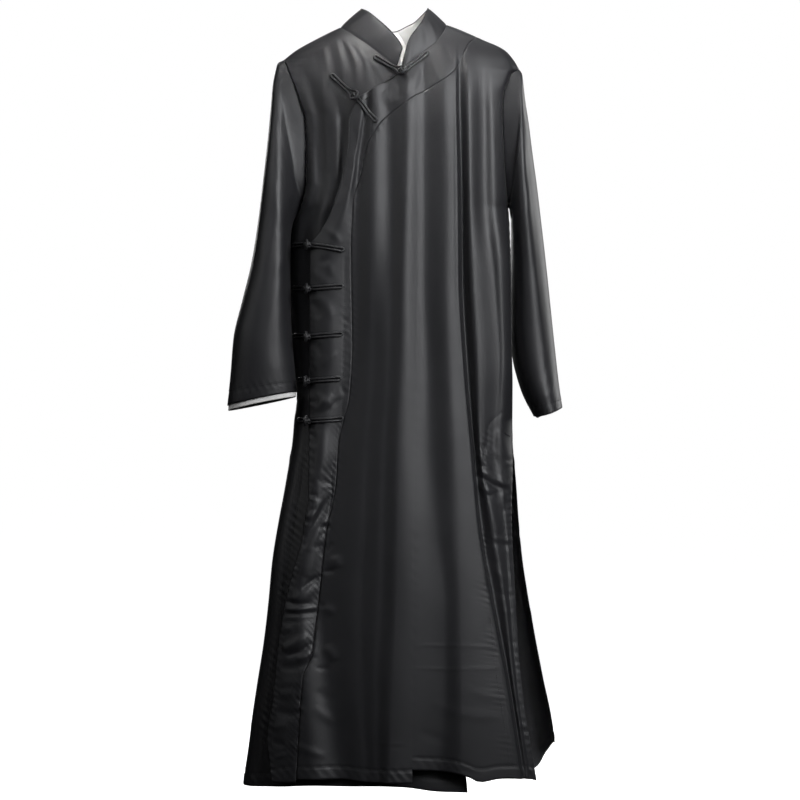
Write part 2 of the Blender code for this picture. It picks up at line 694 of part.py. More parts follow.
# Pieces and their seams
front_left = Piece("front_left", front_left_grid, front_out)
front_right = Piece("front_right", front_right_grid, front_out)
overlap_band = Piece("overlap_band", band_grid, front_out)
underlap = Piece("underlap", underlap_grid, front_out)
back = Piece("back", back_grid, back_out)
sleeve_left = Piece("sleeve_left", sleeve_left_grid, away_from(sleeve_left_grid), wrap=True)
sleeve_right = Piece("sleeve_right", sleeve_right_grid, away_from(sleeve_right_grid), wrap=True)
collar = Piece("collar", collar_grid, collar_out)

seam_rows = len(SHOULDER_STEPS) - 1 + ROWS.index(-725) + 1


def top_edge(piece):
    piece.seam([(0, j) for j in range(len(piece.grid[0]))], lambda i, j: (1, j))


def left_edge(piece, start, end):
    piece.seam([(i, 0) for i in range(start, end)], lambda i, j: (i, 1))


def right_edge(piece, start, end):
    last = len(piece.grid[0]) - 1
    piece.seam([(i, last) for i in range(start, end)], lambda i, j: (i, last - 1))


top_edge(front_left)
left_edge(front_left, 1, len(front_left_grid))
right_edge(front_left, 1, seam_rows)
top_edge(front_right)
left_edge(front_right, 1, len(front_right_grid))
right_edge(front_right, 1, len(front_right_grid))
top_edge(underlap)
left_edge(underlap, 1, seam_rows)
top_edge(back)
left_edge(back, 1, seam_rows)
right_edge(back, 1, seam_rows)
top_edge(overlap_band)
right_edge(overlap_band, 1, len(band_grid))
left_edge(overlap_band, 1, neck_count)
top_edge(sleeve_left)
top_edge(sleeve_right)
top_edge(collar)

for old in list(bpy.data.objects):
    bpy.data.objects.remove(old, do_unlink=True)

for piece in (front_left, front_right, overlap_band, underlap, back, sleeve_left, sleeve_right, collar):
    piece.build(material_of(piece.name + "_satin", SATIN, 0.38))


# White linings
def cuff_lining(name, sleeve):
    rings = sleeve.grid
    normals = sleeve.normals
    inset = CLOTH + 0.6
    rows = []
    for share in (0.0, 0.5, 1.0):
        rows.append([mix(a, b, mix(0.25, 1.0, share)) - m * inset
                     for a, b, m in zip(rings[-2], rings[-1], normals[-1])])
    ends = [(b - a).normalized() for a, b in zip(rows[1], rows[2])]
    rows.append([p + step * CUFF_BEYOND for p, step in zip(rows[2], ends)])
    piece = Piece(name, rows, away_from(rows), wrap=True, wall=LINING)
    return piece.build(material_of(name + "_cloth", WHITE, 0.6))


cuff_lining("cuff_lining_left", sleeve_left)
cuff_lining("cuff_lining_right", sleeve_right)

inset = CLOTH + 0.5
lining_rows = [[p - n * inset for p, n in list(zip(row, line))[1:-1]]
               for row, line in zip(collar_grid[1:], collar.normals[1:])]
lining_rows.append([top + (top - low).normalized() * COLLAR_LINING_BEYOND
                    for low, top in zip(lining_rows[-2], lining_rows[-1])])
Piece("collar_lining", lining_rows, collar_out, wall=LINING).build(
    material_of("collar_lining_cloth", WHITE, 0.6))


# Cord fastenings, seated on the faces that they lie on
def faces_of(pieces):
    points, faces = [], []
    for piece in pieces:
        grid = piece.grid
        cols = len(grid[0])
        first = len(points)
        points += [p for row in grid for p in row]
        for i in range(len(grid) - 1):
            for j in range(cols - 1):
                a = first + i * cols + j
                faces += [(a, a + cols, a + cols + 1), (a, a + cols + 1, a + 1)]
    return BVHTree.FromPolygons(points, faces)


ground = faces_of([front_left, front_right, overlap_band, underlap, back])


def height_over(p, n):
    """How far a point lies out from the cloth below it."""
    hit = ground.ray_cast(p + n * 40, -n, 80)[0]
    return (p - hit).dot(n) if hit else 40.0


def wide_normal(point, x, z):
    a = point(x + 8, z) - point(x - 8, z)
    b = point(x, z + 8) - point(x, z - 8)
    n = b.cross(a).normalized()
    return n if front_out(None, n) else -n


def seated(centre, least):
    """Raises the points of a closed cord until all of it lies this high over the cloth."""
    points = [p.copy() for p, _ in centre]
    outs = [n for _, n in centre]
    count = len(points)
    for _ in range(4):
        lifts = [0.0] * count
        for k in range(count):
            m = (k + 1) % count
            for share in (0.0, 0.25, 0.5, 0.75):
                n = mix(outs[k], outs[m], share).normalized()
                side = (points[m] - points[k]).cross(n).normalized() * CORD
                at = mix(points[k], points[m], share)
                lack = least - min(height_over(at + side * s, n) for s in (-1, 0, 1))
                if lack > 0:
                    lifts[k] = max(lifts[k], lack)
                    if share > 0:
                        lifts[m] = max(lifts[m], lack)
        points = [p + n * lift for p, n, lift in zip(points, outs, lifts)]
    return list(zip(points, outs))


def ring_of_cord(name, path, half_gap, end_gap, least, material):
    """A cord laid out along a path and back again as one closed loop."""
    count = len(path)
    sides = []
    for k, (p, n) in enumerate(path):
        along = (path[min(k + 1, count - 1)][0] - path[max(k - 1, 0)][0]).normalized()
        sides.append((p, along, along.cross(n).normalized(), n))
    spread = [half_gap] * (count - 1) + [end_gap]
    centre = [(p + side * gap, n) for (p, _, side, n), gap in zip(sides, spread)]
    p, along, side, n = sides[-1]
    for turn in (45, 90, 135):
        a = math.radians(turn)
        centre.append((p + (side * math.cos(a) + along * math.sin(a)) * end_gap, n))
    centre += [(p - side * gap, n) for (p, _, side, n), gap in zip(sides[::-1], spread[::-1])]
    p, along, side, n = sides[0]
    centre.append((p - along * half_gap, n))
    centre = seated(centre, least)
    mesh = bmesh.new()
    rings = []
    count = len(centre)
    for k, (p, n) in enumerate(centre):
        along = (centre[(k + 1) % count][0] - centre[k - 1][0]).normalized()
        up = (n - along * n.dot(along)).normalized()
        side = along.cross(up)
        rings.append([mesh.verts.new((p + (up * math.cos(a) + side * math.sin(a)) * CORD) * MM)
                      for a in (math.radians(60 * i + 30) for i in range(6))])
    for k in range(count):
        here, there = rings[k], rings[(k + 1) % count]
        for i in range(6):
            m = (i + 1) % 6
            mesh.faces.new((here[i], here[m], there[m], there[i]))
    bmesh.ops.triangulate(mesh, faces=mesh.faces[:])
    if mesh.calc_volume(signed=True) < 0:
        bmesh.ops.reverse_faces(mesh, faces=mesh.faces[:])
    return place(name, mesh, material)


def along_cloth(point, start, end, shares):
    places = [(mix(start[0], end[0], s), mix(start[1], end[1], s)) for s in shares]
    return [(point(x, z), wide_normal(point, x, z)) for x, z in places]


PAIR = CORD + 0.3
REST = CORD + 0.35
RING = KNOT + CORD + 0.4

for name, tail, knot, loop_tail in FASTENINGS:
    cord = material_of("cord_" + name, CORD_BLACK, 0.45)
    out = wide_normal(front_point, *knot)
    base = front_point(*knot)
    base += out * (KNOT + 0.5 - min(height_over(base, out), 0.0))
    path = along_cloth(front_point, tail, knot, (0.0, 0.3, 0.6, 0.9))
    knotted = ring_of_cord(f"frog_{name}_knot", path, PAIR, PAIR, REST, cord)
    ball = bmesh.new()
    bmesh.ops.create_uvsphere(ball, u_segments=10, v_segments=6, radius=KNOT * MM)
    bmesh.ops.translate(ball, verts=ball.verts[:], vec=base * MM)
    ball = place(f"frog_{name}_ball", ball, cord)
    ball.hide_render = True
    ball.display_type = "WIRE"
    union = knotted.modifiers.new("Knot", "BOOLEAN")
    union.operation = "UNION"
    union.solver = "EXACT"
    union.object = ball
    if loop_tail:
        path = along_cloth(underlap_point, loop_tail, knot, (0.0, 0.3, 0.6))
    else:
        z = knot[1] + 2
        middle = (edge_left(z) + edge_right(z)) / 2
        half = (edge_right(z) - edge_left(z)) / 2
        path = []
        for share in (0.94, 0.9, 0.86):
            p = underlap_point(middle - share * half, z)
            slope = underlap_point(middle - share * half + 1, z) - p
            path.append((p, Vector((slope.y, -slope.x, 0)).normalized()))
    path.append((base + out * 3.3, out))
    ring_of_cord(f"frog_{name}_loop", path, PAIR, RING, REST, cord)
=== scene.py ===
"""Looks of the long gown: satin cloth, linings, cords, stitches, floor, light and camera.

X runs to the wearer's left, the front faces -Y, Z is up. Tables are in millimetres.
"""

import math

import bmesh
import bpy
import numpy as np
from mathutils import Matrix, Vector
from mathutils.bvhtree import BVHTree


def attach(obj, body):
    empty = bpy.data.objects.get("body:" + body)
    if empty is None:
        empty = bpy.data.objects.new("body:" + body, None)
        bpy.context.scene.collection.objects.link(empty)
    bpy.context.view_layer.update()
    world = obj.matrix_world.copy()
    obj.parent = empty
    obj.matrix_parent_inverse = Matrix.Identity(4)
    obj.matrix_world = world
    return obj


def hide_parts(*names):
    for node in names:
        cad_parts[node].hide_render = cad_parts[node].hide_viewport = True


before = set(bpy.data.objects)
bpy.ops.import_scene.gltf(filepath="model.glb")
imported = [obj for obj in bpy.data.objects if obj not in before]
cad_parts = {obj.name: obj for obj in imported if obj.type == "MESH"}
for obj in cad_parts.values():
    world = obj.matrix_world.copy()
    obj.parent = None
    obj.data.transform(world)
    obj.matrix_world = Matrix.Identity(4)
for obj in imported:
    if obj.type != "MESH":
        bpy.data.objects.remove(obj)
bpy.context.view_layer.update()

MM = 0.001
CORD = 2.4             # radius of a fastening's cord
KNOT = 6.2             # radius of a fastening's knot
SHOULDER_RISE = 200.0  # depth grows over this drop below the shoulder line
SECTION_POWER = 2.3    # squareness of the body's cross-section
FIRST_ROW = -190.0     # first level row, below the sloping shoulder rows
ARMPIT = -320.0
SLIT_TOP = -725.0
BAND_END = 139.0       # the band meets the shoulder seam this far across
NECK_ENDS = (-108, 84)  # across: where the collar's seam meets the shoulder line
FLAP_TOP = -388.0      # from here down the overlap's edge is the flap's
HEM_STITCHES = 22      # the stitches lie this high above a hem
SLIT_STITCHES = 30     # and this far from a slit's edge
LAYER = 1.0            # thickness of the gown's cloth
COLLAR_LAYER = 1.1     # of the stiffened collar
LINING_LAYER = 0.9     # and of the white linings
LINING_GAP = 2.2       # a lining lies this far inside the cloth's outer face
ROWS = {"front": 360, "underlap": 330, "back": 270}  # level rows of the body's grids

# The photograph: size of a picture element, the column of the gown's middle and the row of its neck line
PIXEL = 1.8
MIDDLE_COLUMN = 400
NECK_ROW = 30
CAMERA_AWAY = 5000.0
CAMERA_HEIGHT = -666.0

# height, left edge, right edge of the body in front view
BODY_EDGES = [
    (-54, -209, 214), (-70, -203, 214), (-81, -199, 200), (-101, -191, 192), (-112, -187, 187),
    (-144, -176, 184), (-158, -171, 184), (-212, -168, 186), (-272, -169, 190), (-320, -180, 194),
    (-335, -190, 195), (-350, -197, 196), (-385, -201.5, 197),
    (-450, -202, 199), (-550, -198, 200), (-600, -194, 201),
    (-640, -189, 202), (-666, -187, 202), (-702, -191, 202), (-738, -194, 203),
    (-810, -205, 209), (-882, -218, 214), (-954, -229, 221), (-1026, -236, 232), (-1098, -245, 245),
    (-1170, -256, 259), (-1242, -266, 274), (-1278, -270, 279), (-1350, -281, 284),
]

# height, depth of the front from the side seams, depth of the back, underlap behind the front
BODY_DEPTH = [
    (-190, 78, 66, 15), (-320, 80, 70, 15), (-450, 82, 72, 17), (-600, 86, 76, 19),
    (-750, 92, 82, 22), (-900, 100, 90, 23), (-1050, 108, 98, 24), (-1200, 116, 106, 24),
    (-1350, 122, 112, 24),
]

# height, half depth of the armhole on the left and on the right
ARMHOLE_LEFT = [(-54, 0), (-57, 6), (-62, 9), (-70, 12), (-85, 16), (-101, 19), (-158, 22),
                (-212, 21), (-272, 17), (-300, 12), (-314, 6), (-320, 0)]
ARMHOLE_RIGHT = [(-70, 0), (-73, 6), (-78, 10), (-85, 13), (-112, 19), (-158, 24),
                 (-212, 22), (-272, 17), (-300, 12), (-314, 6), (-320, 0)]
# height, how far back the left side seam lies, and the right one
SEAM_SHIFT = [(-320, 0, 0), (-345, 15, -6), (-385, 26, -16), (-420, 30, -20), (-600, 29, -20),
              (-700, 12, -8), (-760, 6, -3), (-850, 0, 0)]
# height, half opening between front and back below the slit's top
SLIT_OPENING = [(-725, 0), (-800, 4), (-1000, 10), (-1350, 14)]

# across, height of the shoulder line
SHOULDER_LINE = [(-209, -54), (-187, -37), (-153, -18), (-117, 0), (-108, 4), (-60, 18), (-12, 24),
                 (40, 20), (84, 9), (108, 0), (149, -18), (189, -37), (205, -55), (214, -70)]
# across, height of the collar seam on the underlap, at the back and on the overlap
NECK_LEFT = [(-108, 4), (-84.5, -12), (-64.5, -26.5), (-44.5, -42), (-26.8, -56), (-11, -69),
             (0, -77)]
NECK_BACK = [(-108, 4), (-80, -14), (-50, -27), (-12, -34), (30, -28), (60, -10), (84, 9)]
NECK_RIGHT = [(84, 9), (78, -7), (64.5, -26), (46.5, -42), (28.7, -57), (14, -71), (7, -77)]

# height, across: the overlap edge from the chest corner to the side, then down to the hem
OVERLAP_EDGE = [(-128, -75), (-167, -90), (-206, -91), (-231, -94), (-262, -100), (-291, -108),
                (-320, -118), (-350, -131.5), (-379, -152.5), (-388, -161.5)]
FLAP_EDGE = [(-388, -161.5), (-600, -162), (-830, -162.5), (-880, -169), (-925, -177), (-968, -189),
             (-1017, -202), (-1110, -218), (-1198, -226), (-1272, -237), (-1296, -233),
             (-1342, -227)]
NECK_TO_CHEST = [(7, -77), (-14, -95), (-35.5, -106), (-75, -128)]
# across, height of the band's border from the shoulder to the turn, then height, across
BORDER_TOP = [(126, -25), (116.5, -40), (98, -79), (53, -112), (30.5, -125),
              (21.5, -130), (-7, -151), (-14, -156)]
BORDER_SIDE = [(-156, -14), (-174, -33.5), (-198, -49), (-218, -60), (-262, -69), (-309, -82),
               (-357, -85), (-391, -86.5), (-560, -84.5), (-666, -90.5), (-699, -99.5),
               (-751, -110), (-790, -112), (-823, -115), (-892, -129), (-960, -137.5),
               (-1004, -141.5), (-1083, -150.5), (-1117, -155), (-1152, -170.5), (-1192, -175),
               (-1340, -184)]
CENTRE_SEAM = [(-125, 30.5), (-450, 30), (-666, 28.5), (-954, 24.5), (-1206, 22), (-1340, 21.5)]
SLIT_EDGE_RIGHT = [(-725, 202.5), (-790, 202), (-835, 200), (-875, 199), (-920, 200), (-965, 202.5),
                   (-1015, 205), (-1075, 208), (-1130, 211.5), (-1175, 216.5), (-1212, 220.5),
                   (-1262, 229), (-1305, 236.5), (-1341, 242)]
UNDERLAP_FREE_EDGE = [(-77, 4), (-1360, 119.5)]

# across, height of each hem
HEM_FRONT_LEFT = [(21.5, -1316), (88, -1321), (119, -1328), (141, -1338), (177, -1333),
                  (233, -1338), (242, -1341)]
HEM_FRONT_RIGHT = [(-227, -1342), (-187, -1335), (-105, -1334), (-58, -1338), (21.5, -1339)]
HEM_UNDERLAP = [(-281, -1355), (-106, -1348), (9, -1350), (66, -1357), (120, -1360)]
HEM_BACK = [(-281, -1345), (-200, -1338), (0, -1335), (200, -1336), (232, -1344), (252, -1332),
            (264, -1309), (279, -1283)]

# The front's folds: each line's place across and its height out of the cloth, at these heights
FOLD_HEIGHTS = (-130, -305, -450, -600, -745, -895, -1020, -1155, -1335)
FRONT_FOLDS = [
    # name, across at each height, out at each height
    ("flap crest", (-65, -94, -145, -142, -145, -166, -184, -177, -159), (1, 5, 9, 10, 9, 8, 8, 8, 8)),
    ("band valley", (-57, -76, -78, -81, -104, -124, -138, -124, -101),
     (-4, -6, -9, -11, -12, -12, -11, -9, -8)),
    ("second crest", (-48, -51, -51, -50, -60, -67, -74, -71, -60), (4, 4, 1, -4, -4, -4, -3, -2, -1)),
    ("second valley", (-19, -16, -18, -21, -28, -32, -35, -42, -39), (-3, -4, -1, 3, 3, 3, 3, 3, 3)),
    ("middle crest", (12, 9, 5, 2, -4, -5, -7, -14, -21), (6, 8, 9, 10, 11, 11, 11, 11, 12)),
    ("centre valley", (46, 45, 45, 50, 52, 62, 76, 76, 64), (-3, -4, -4, -4, -2, 1, 2, 0, -4)),
    ("long crest", (81, 85, 83, 88, 96, 103, 108, 110, 112), (3, 4, 6, 7, 9, 9, 9, 9, 9)),
    ("sharp edge", (99, 102, 103, 111, 124, 138, 159, 185, 213), (2, 3, 4, 5, 6, 7, 7, 7, 6)),
    ("deep valley", (106, 110, 111, 119, 131, 145, 167, 192, 220),
     (-8, -12, -14, -14, -13, -12, -11, -8, -3)),
    ("outer crest", (122, 124, 129, 138, 142, 166, 186, 200, 226), (4, 5, 5, 4, 2, 2, 1, -1, -1)),
    ("outer valley", (149, 150, 166, 175, 166, 186, 195, 206, 231),
     (-3, -4, -3, -3, -2, -2, -2, -3, -3)),
    ("side crest", (165, 172, 181, 186, 181, 191, 200, 210, 236), (2, 3, 2, 1, 2, 0, 0, -2, -2)),
]
# place as a share of the half width, out at the chest, out at the hem
UNDERLAP_FOLDS = [(-0.94, 2, 1), (-0.85, -3, -2), (-0.74, 3, 2), (-0.6, -2, -3), (-0.35, 2, 4),
                  (-0.1, -2, -4), (0.15, 2, 4), (0.45, -2, -3)]
BACK_FOLDS = [(-0.93, 1, 4), (-0.8, -3, -7), (-0.64, 4, 9), (-0.5, -5, -8), (-0.33, 5, 12),
              (-0.16, -5, -10), (0.02, 6, 10), (0.17, -4, -11), (0.31, 5, 12), (0.5, -5, -8),
              (0.65, 4, 10), (0.81, -4, -8), (0.93, 1, 4)]

# outer x and z, inner x and z, half depth, middle y, drop of the back edge
SLEEVE_LEFT = [
    (-222, -66, -179, -323, 31, 0, 0), (-229, -99, -184.5, -331, 42, 0, 0),
    (-233, -144, -190.5, -342, 50, -2, 0), (-238, -198, -195, -361, 56, -5, 0),
    (-245, -261, -197, -392, 60, -8, 0), (-254, -338, -197, -432, 60, -12, 0),
    (-266, -418, -196, -479, 58, -18, 0), (-282, -486, -195, -526, 55, -24, 0),
    (-298, -554, -192, -569, 52, -28, 2), (-303, -616, -188, -610, 49, -30, 3),
    (-309, -676, -184, -651, 46, -30, 2),
]
SLEEVE_RIGHT = [
    (221, -86, 197, -323, 32, 1, 0), (225, -122, 198, -330, 43, 5, 0),
    (232, -166, 200, -346, 52, 11, 0), (239, -220, 200, -371, 58, 17, 0),
    (247, -277, 200, -403, 62, 21, 0), (256, -349, 199, -443, 62, 24, 0),
    (265, -428, 198, -490, 62, 25, 0), (274, -513, 198, -540, 62, 25, 0),
    (281, -580, 203, -589, 62, 24, 0), (288, -644, 219, -650, 61, 20, 0),
    (293, -678, 241, -695, 58, 18, -4),
]
# angle round the sleeve, half width, first and last ring, out: the sleeves' largest folds
SLEEVE_LEFT_FOLDS = [(70, 34, 1, 6, -2), (124, 34, 2, 9, 2), (45, 30, 3, 10, 1.5), (92, 30, 5, 10, -1.5),
                     (250, 30, 2, 10, -5), (300, 30, 3, 9, 4)]
SLEEVE_RIGHT_FOLDS = [(48, 34, 2, 9, -1.5), (88, 36, 1, 8, 2.5), (130, 30, 3, 10, -1.5), (240, 30, 2, 10, -5),
                      (290, 30, 3, 9, 4)]
CUFF_BEYOND = 9.0      # the white lining shows this far past the cuff
LINING_OUT = 9.5       # the collar's lining stands this far past the left half's front edge

# across at the seam, then how far the top edge lies from it: across, back, up
COLLAR_LEFT = [(-108, 38, 0, 33), (-84.5, 29, 2, 40), (-64.5, 23, 3, 42), (-44.5, 18, 4, 44),
               (-26.8, 12, 4, 46), (-11, 8, 4, 45), (0, 4, 3, 39)]
COLLAR_BACK = [(-108, 38, 0, 33), (-80, 26, -2, 34), (-50, 12, 0, 36), (-12, 0, 2, 36),
               (30, -10, 1, 43), (60, -22, -1, 38), (84, -34, 0, 29)]
COLLAR_RIGHT = [(7, 1, 4, 20), (14, -2, 4, 34), (28.7, -7, 4, 41), (46.5, -14, 4, 41),
                (64.5, -22, 3, 41), (78, -30, 2, 36), (84, -34, 0, 29)]

# name, tail x and z, knot x and z, loop's tail x and z
FASTENINGS = [
    ("neck", (47, -50), (5, -84), (-43, -56)),
    ("chest", (-44, -170), (-79, -127), (-120, -88)),
    ("side_1", (-103, -399), (-160, -390), None),
    ("side_2", (-105, -464), (-160, -468), None),
    ("side_3", (-106, -549), (-160, -553), None),
    ("side_4", (-109, -628), (-160, -632), None),
    ("side_5", (-105, -699), (-160, -704), None),
]


def mix(a, b, share):
    return a + (b - a) * share


def ease(share):
    share = np.clip(share, 0.0, 1.0)
    return share * share * (3 - 2 * share)


def unit(vectors):
    return vectors / np.maximum(np.linalg.norm(vectors, axis=-1, keepdims=True), 1e-9)


def run_of(line):
    """Distance along a line of points, from its start."""
    return np.concatenate([[0], np.cumsum(np.linalg.norm(np.diff(line, axis=0), axis=1))])


def places_on(line, run, at):
    """Places on a line of points, at these distances from its start."""
    return np.stack([np.interp(at, run, column) for column in np.asarray(line).T], 1)


def curve(table, column=1):
    """A smooth function through the table's first column and the one named, with no overshoot."""
    rows = sorted(table)
    xs = np.array([row[0] for row in rows], float)
    ys = np.array([row[column] for row in rows], float)
    steps = np.diff(xs)
    slopes = np.diff(ys) / steps
    tangents = np.zeros(len(xs))
    tangents[0] = slopes[0]
    tangents[-1] = slopes[-1]
    for i in range(1, len(xs) - 1):
        before, after = slopes[i - 1], slopes[i]
        if before * after > 0:
            w1 = 2 * steps[i] + steps[i - 1]
            w2 = steps[i] + 2 * steps[i - 1]
            tangents[i] = (w1 + w2) / (w1 / before + w2 / after)

    def value(x):
        x = np.clip(np.asarray(x, float), xs[0], xs[-1])
        i = np.clip(np.searchsorted(xs, x) - 1, 0, len(steps) - 1)
        h = steps[i]
        t = (x - xs[i]) / h
        return ((1 + 2 * t) * (1 - t) ** 2 * ys[i] + t * (1 - t) ** 2 * h * tangents[i]
                + t * t * (3 - 2 * t) * ys[i + 1] + t * t * (t - 1) * h * tangents[i + 1])

    return value


edge_left = curve(BODY_EDGES, 1)
edge_right = curve(BODY_EDGES, 2)
depth_front = curve(BODY_DEPTH, 1)
depth_back = curve(BODY_DEPTH, 2)
depth_gap = curve(BODY_DEPTH, 3)
armhole_left = curve(ARMHOLE_LEFT)
armhole_right = curve(ARMHOLE_RIGHT)
slit_opening = curve(SLIT_OPENING)
shift_left = curve(SEAM_SHIFT, 1)
shift_right = curve(SEAM_SHIFT, 2)
shoulder = curve(SHOULDER_LINE)
neck_left = curve(NECK_LEFT)
neck_back = curve(NECK_BACK)
overlap_edge = curve(OVERLAP_EDGE)
flap_edge = curve(FLAP_EDGE)
band_tip = (BAND_END, float(shoulder(BAND_END)))
border_top = curve(BORDER_TOP + [band_tip])
border_side = curve(BORDER_SIDE)
centre_seam = curve(CENTRE_SEAM)
slit_edge_right = curve(SLIT_EDGE_RIGHT)
underlap_free = curve(UNDERLAP_FREE_EDGE)
fold_lines = [(curve(list(zip(FOLD_HEIGHTS, across))), curve(list(zip(FOLD_HEIGHTS, out))))
              for _, across, out in FRONT_FOLDS]
fold = {row[0]: lines[0] for row, lines in zip(FRONT_FOLDS, fold_lines)}


# heights round a place over which the body's sides are evened
CALM = (-60, -40, -20, 0, 20, 40, 60)


def section(x, z):
    """Share of the half width, rounded depth share and seam depth at points of the body."""
    left = edge_left(z)
    right = edge_right(z)
    u = np.clip((x - (left + right) / 2) / ((right - left) / 2), -1.0, 1.0)
    # away from the edges the section follows calmer sides, so that no ridge runs across from a corner
    calm_left = sum(edge_left(z + d) for d in CALM) / len(CALM)
    calm_right = sum(edge_right(z + d) for d in CALM) / len(CALM)
    v = np.clip((x - (calm_left + calm_right) / 2) / ((calm_right - calm_left) / 2), -1.0, 1.0)
    e = mix((1 - np.abs(v) ** SECTION_POWER) ** (1 / SECTION_POWER),
            (1 - np.abs(u) ** SECTION_POWER) ** (1 / SECTION_POWER), np.abs(u) ** 8)
    hole = np.where(u < 0, armhole_left(z), armhole_right(z))
    hole = np.where(z > np.where(u < 0, ARMHOLE_LEFT[0][0], ARMHOLE_RIGHT[0][0]), 0.0, hole)
    seam = np.where(z > ARMPIT, hole * np.abs(u) ** 9, np.where(z < SLIT_TOP, slit_opening(z), 0.0))
    return u, e, seam


def shift(u, z):
    return np.where(u < 0, shift_left(z), shift_right(z)) * np.abs(u) ** 6


def below_shoulder(x, z):
    drop = np.maximum(shoulder(x) - z, 0.0)
    share = 1 - np.minimum(drop / SHOULDER_RISE, 1.0)
    return np.sqrt(np.maximum(1 - share * share, 0.0)), drop


def wave(places, heights, at):
    """Height at a place between fold lines given in order."""
    out = np.zeros_like(at) + heights[-1]
    done = np.zeros(at.shape, bool)
    for x0, d0, x1, d1 in zip(places, heights, places[1:], heights[1:]):
        share = np.clip((at - x0) / np.maximum(x1 - x0, 1e-6), 0.0, 1.0)
        here = ~done & (at <= x1)
        out = np.where(here, mix(d0, d1, (1 - np.cos(math.pi * share)) / 2), out)
        done |= here
    return out


def front_y(x, z):
    u, e, seam = section(x, z)
    grow, drop = below_shoulder(x, z)
    start = np.where(z < FLAP_TOP, flap_edge(z), overlap_edge(z))
    places = [np.minimum(start, fold_lines[0][0](z) - 6)]
    heights = [0.8 * fold_lines[0][1](z) * ease((-z - 90) / 220)]
    for across, out in fold_lines:
        places.append(across(z))
        heights.append(out(z))
    places.append(np.maximum(edge_right(z), places[-1] + 2))
    heights.append(np.zeros_like(x))
    out = wave(places, heights, x) * ease((drop - 15) / 130) * np.minimum(1.0, 1.6 * e)
    return shift(u, z) - (seam + np.maximum(depth_front(z) * grow - seam, 0.0) * e) - out


def table_wave(table, u, z):
    low = ease((-z - 100) / 1250)
    places = [np.full_like(u, -1.0)] + [np.full_like(u, row[0]) for row in table] + [np.full_like(u, 1.0)]
    zero = np.zeros_like(u)
    heights = [zero] + [mix(row[1], row[2], low) for row in table] + [zero]
    return wave(places, heights, u)


def underlap_y(x, z):
    u, e, seam = section(x, z)
    grow, drop = below_shoulder(x, z)
    out = table_wave(UNDERLAP_FOLDS, u, z) * ease((drop - 15) / 110) * np.minimum(1.0, 1.8 * e)
    depth = (depth_front(z) - depth_gap(z)) * grow
    return shift(u, z) - (seam + np.maximum(depth - seam, 0.0) * e) - out


def back_y(x, z):
    u, e, seam = section(x, z)
    grow, drop = below_shoulder(x, z)
    # the folds keep to an even taper, and are softer between the shoulders than in the skirt
    taper = mix(189, 204, ease((-z - 100) / 600)) + 78 * ease((-z - 640) / 720)
    soft = mix(0.45, 0.8, ease((-z - 150) / 900))
    out = soft * table_wave(BACK_FOLDS, np.clip(x / taper, -1.0, 1.0), z)
    out = out * ease((drop - 20) / 200) * np.minimum(1.0, 1.8 * e)
    return shift(u, z) + seam + np.maximum(depth_back(z) * grow - seam, 0.0) * e + out


# Lines on the cloth
def near_line(points, x, z):
    """Distance to a line of points, place along it, which side, and the line's length, for many points."""
    points = np.asarray(points, float)
    best = np.full(x.shape, 1e9)
    along = np.zeros(x.shape)
    side = np.zeros(x.shape)
    run = 0.0
    for a, b in zip(points, points[1:]):
        d = b - a
        length = math.hypot(*d)
        t = np.clip(((x - a[0]) * d[0] + (z - a[1]) * d[1]) / (length * length), 0, 1)
        gap = np.hypot(x - a[0] - t * d[0], z - a[1] - t * d[1])
        closer = gap < best
        best = np.where(closer, gap, best)
        along = np.where(closer, run + t * length, along)
        side = np.where(closer, np.sign((x - a[0]) * d[1] - (z - a[1]) * d[0]), side)
        run += length
    return best, along, side, run


def rounded(points, count=6):
    """The same line with more points on a smooth curve."""
    p = np.asarray(points, float)
    p = np.vstack([2 * p[0] - p[1], p, 2 * p[-1] - p[-2]])
    out = []
    for a, b, c, d in zip(p, p[1:], p[2:], p[3:]):
        for k in range(count):
            t = k / count
            out.append(0.5 * (2 * b + (c - a) * t + (2 * a - 5 * b + 4 * c - d) * t * t
                              + (3 * b - a - 3 * c + d) * t ** 3))
    out.append(p[-2])
    return np.array(out)


def ripple(along, step, seed):
    """An uneven wave along a line, between -1 and 1."""
    s = along / step
    drift = 0.9 * np.sin(s * 0.61 + seed) + 0.5 * np.sin(s * 0.23 + 2.1 * seed)
    swell = 0.62 + 0.38 * np.sin(s * 0.47 + 1.7 * seed) * np.sin(s * 0.19 + seed)
    return np.sin(2 * math.pi * s + 2.2 * drift) * swell


def puckers(points, x, z, step, reach, height, slant, seed):
    """Small creases that start at a row of stitches and die out away from it on both sides."""
    gap, along, side, run = near_line(points, x, z)
    out = ripple(along + slant * gap * side, step, seed)
    fade = np.exp(-(gap / reach) ** 1.5) * np.abs(side)
    ends = ease(along / (3 * step) + 0.3) * ease((run - along) / (3 * step) + 0.3)
    return out * fade * height * ends


def ditch(points, x, z, width, depth):
    """The narrow trough of a seam or of a row of stitches."""
    gap = near_line(points, x, z)[0]
    return -depth * np.exp(-(gap / width) ** 2)


def creases(table, x, z):
    """Soft troughs and ridges: each row has a width, a height and the points of its line."""
    total = np.zeros_like(x)
    for width, height, *points in table:
        line = rounded(points) if len(points) > 2 else np.asarray(points, float)
        low = line.min(0) - 3.2 * width
        high = line.max(0) + 3.2 * width
        inside = (x > low[0]) & (x < high[0]) & (z > low[1]) & (z < high[1])
        if not inside.any():
            continue
        gap, along, _, run = near_line(line, x[inside], z[inside])
        share = along / run
        fade = np.sqrt(np.clip(4 * share * (1 - share), 0, 1))
        taper = 0.55 + 0.45 * fade
        total[inside] += height * fade * np.exp(-(gap / (width * taper)) ** 2)
    return total


